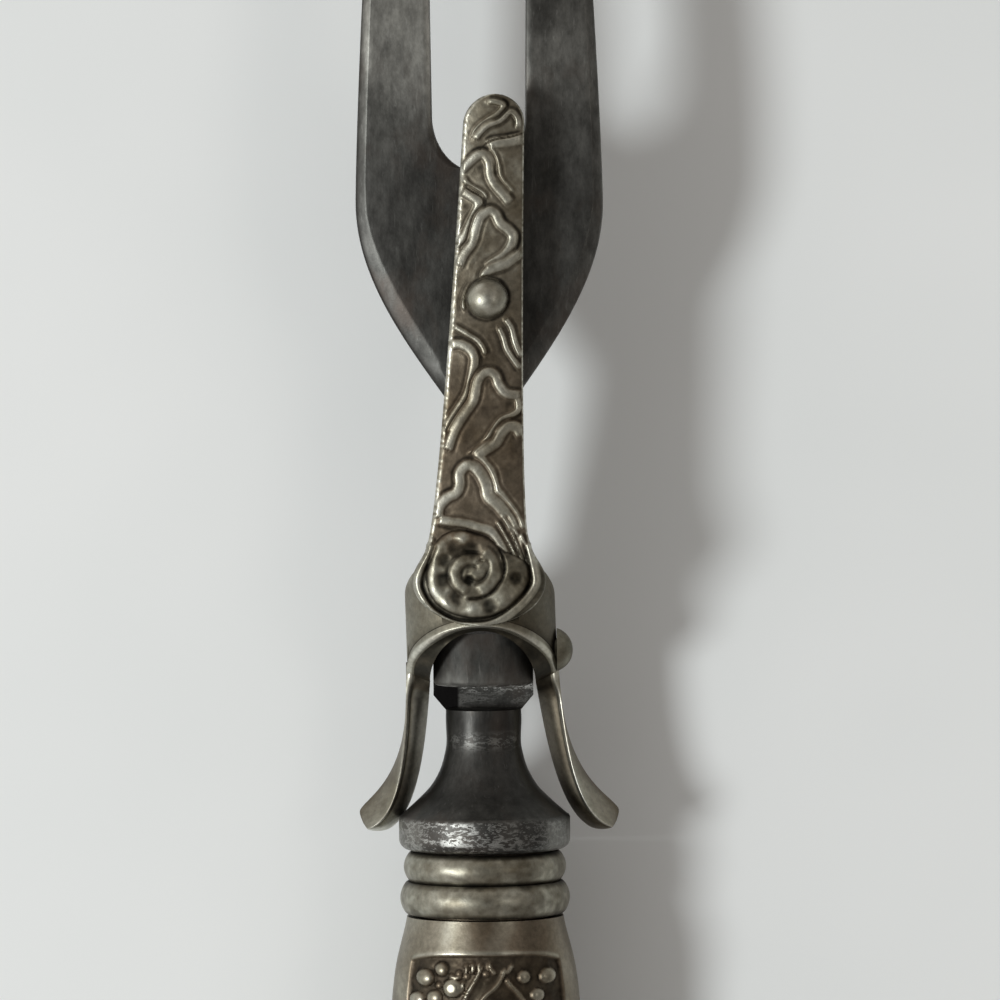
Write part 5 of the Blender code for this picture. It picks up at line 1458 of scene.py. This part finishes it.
def make_shell(name, side, node):
    """Stamped half of the hollow handle, ornamented on its face and open at the seam."""
    straight = HANDLE_LENGTH - BUTT_CAP
    places = np.concatenate([np.arange(0.0, FINE_RUN, FINE_STEP),
                             np.arange(FINE_RUN, straight, 2 * FINE_STEP),
                             straight + BUTT_CAP * np.sin(BUTT_TURNS)])
    turn = np.radians(SHELL_ANGLES)
    inner_turn = turn[::-1][::INSIDE_SKIP]
    sections = np.array([handle_section(place) for place in places])
    across = sections[:, :1] * np.cos(turn)
    points = np.stack([across, np.repeat(places[:, None], len(turn), 1)], -1).reshape(-1, 2)
    relief = handle_relief(points, np.tile(SHELL_ANGLES, len(places)))
    height, wear = (field.reshape(across.shape) for field in relief)
    seam = SEAT_GAP / 2

    def shell_ring(place, half, depth, wall, lift):
        """Outer face with its relief, then the inside, at a place along the fork."""
        outer = np.column_stack([(half + lift) * np.cos(turn), np.full(len(turn), place),
                                 side * (seam + (depth + lift - seam) * np.sin(turn))])
        inner = np.column_stack([(half - wall) * np.cos(inner_turn), np.full(len(inner_turn), place),
                                 side * (seam + (depth - wall - seam) * np.sin(inner_turn))])
        return np.vstack([outer, inner])

    socket = FERRULE_BORE - SEAT_GAP
    rings = [shell_ring(y, socket, socket, SHELL_WALL, 0.0) for y in (FERRULE_FRONT, HANDLE_FRONT)]
    values = np.full((len(rings) + len(places), len(turn) + len(inner_turn)), INSIDE_WEAR)
    values[len(rings):, :len(turn)] = wear
    for place, (half, depth), lift in zip(places, sections, height):
        rings.append(shell_ring(HANDLE_FRONT - place, half, depth, min(SHELL_WALL, half * 0.5), lift))
    piece = loft(name, np.array(rings) + np.array([0.0, 0.0, AXIS_Z]), {"wear": values})
    finish = worn_silver(name + "_silver", 0.08, 0.03)
    return dress(piece, finish, "fork", "nickel_silver", node, sharp=45.0)


# Stage, light and camera

# Lights: bearing from straight left towards the handle and height in degrees, distance, size, power, colour
WINDOW = (10.0, 47.5, 1.25, 0.28, 10.4, (0.965, 1.0, 1.01))
CEILING_LAMP = (180.0, 56.0, 1.3, 0.36, 0.8, (1.0, 0.96, 0.9))
ROOM_LEVELS = {"X": ((-1.0, 1.35), (0.0, 1.0), (1.0, 0.55)),
               "Y": ((-1.0, 0.85), (0.0, 0.9), (0.6, 1.35)),
               "Z": ((0.0, 1.0), (0.72, 1.0), (0.95, 0.28))}
ROOM_TINT = (1.0, 0.955, 0.915)
ROOM_STRENGTH = 0.51
FLOOR_REACH = 3.0
FLOOR_GAP = 0.0001
FLOOR_TONES = ((0.3, (0.745, 0.765, 0.76)), (0.7, (0.785, 0.80, 0.795)))


def add_light(name, bearing, elevation, distance, size, power, colour):
    """Round soft light aimed at the pin."""
    data = bpy.data.lights.new(name, "AREA")
    data.shape = "DISK"
    data.size = size
    data.energy = power
    data.color = colour
    turn, rise = math.radians(bearing), math.radians(elevation)
    away = Vector((-math.cos(turn) * math.cos(rise), -math.sin(turn) * math.cos(rise), math.sin(rise)))
    lamp = add_object(name, data)
    lamp.location = PIVOT + away * distance
    lamp.rotation_euler = (-away).to_track_quat("-Z", "Y").to_euler()


def make_world():
    """Soft room: dim straight above, brighter past the tines and on the window's side."""
    world = bpy.data.worlds.new("studio")
    room = Wiring(world)
    split = room.node("SeparateXYZ", Vector=room.node("TexCoord").outputs["Generated"])
    levels = []
    for axis, knots in ROOM_LEVELS.items():
        shift = room.node("MapRange", From_Min=-1.0, Value=split.outputs[axis])
        stops = [((place + 1.0) / 2, level) for place, level in knots]
        levels.append(room.ramp(shift.outputs["Result"], *stops))
    light = levels[0]
    for factor in (*levels[1:], ROOM_TINT):
        light = room.blend(1.0, light, factor, "MULTIPLY")
    background = room.tree.nodes["Background"]
    room.feed(background.inputs["Strength"], ROOM_STRENGTH)
    room.feed(background.inputs["Color"], light)
    bpy.context.scene.world = world


def make_stage():
    mesh = bpy.data.meshes.new("floor")
    corners = [(x * FLOOR_REACH, y * FLOOR_REACH, 0.0) for x, y in ((-1, -1), (1, -1), (1, 1), (-1, 1))]
    mesh.from_pydata(corners, [], [(0, 1, 2, 3)])
    floor = add_object("floor", mesh)
    floor.location.z = CAD_BOX[0].z - FLOOR_GAP
    paper = Finish("pale_floor", 0.0, 0.75)
    paper.colour(paper.ramp(paper.noise(60.0, 2.0), *FLOOR_TONES))
    mesh.materials.append(paper.made)
    make_world()
    add_light("window", *WINDOW)
    add_light("ceiling_lamp", *CEILING_LAMP)


def make_camera():
    data = bpy.data.cameras.new("camera")
    data.sensor_width = 36.0
    data.lens = data.sensor_width * CAMERA_HEIGHT / FRAME_WIDTH
    data.clip_start = 0.01
    camera = add_object("camera", data)
    camera.location = (PIVOT.x + (IMAGE_CENTRE - AXIS_COLUMN) / PX_PER_MM * MM,
                       PIVOT.y + (PIN_ROW - IMAGE_CENTRE) / PX_PER_MM * MM, PIVOT.z + CAMERA_HEIGHT)
    camera.rotation_euler.z = math.radians(-CAMERA_ROLL)
    bpy.context.scene.camera = camera
    bpy.context.scene.view_settings.view_transform = "Standard"


make_stage()
make_camera()
make_forging()
make_guard()
make_bead()
make_pin()
make_ferrule()
make_shell("ornamented_front_shell", 1.0, "handle_front_shell")
make_shell("ornamented_back_shell", -1.0, "handle_back_shell")
for node, finish in (("guard_spring", spring_steel()), ("handle_filler", handle_cement())):
    frame["nodes"][node].data.materials.clear()
    frame["nodes"][node].data.materials.append(finish)
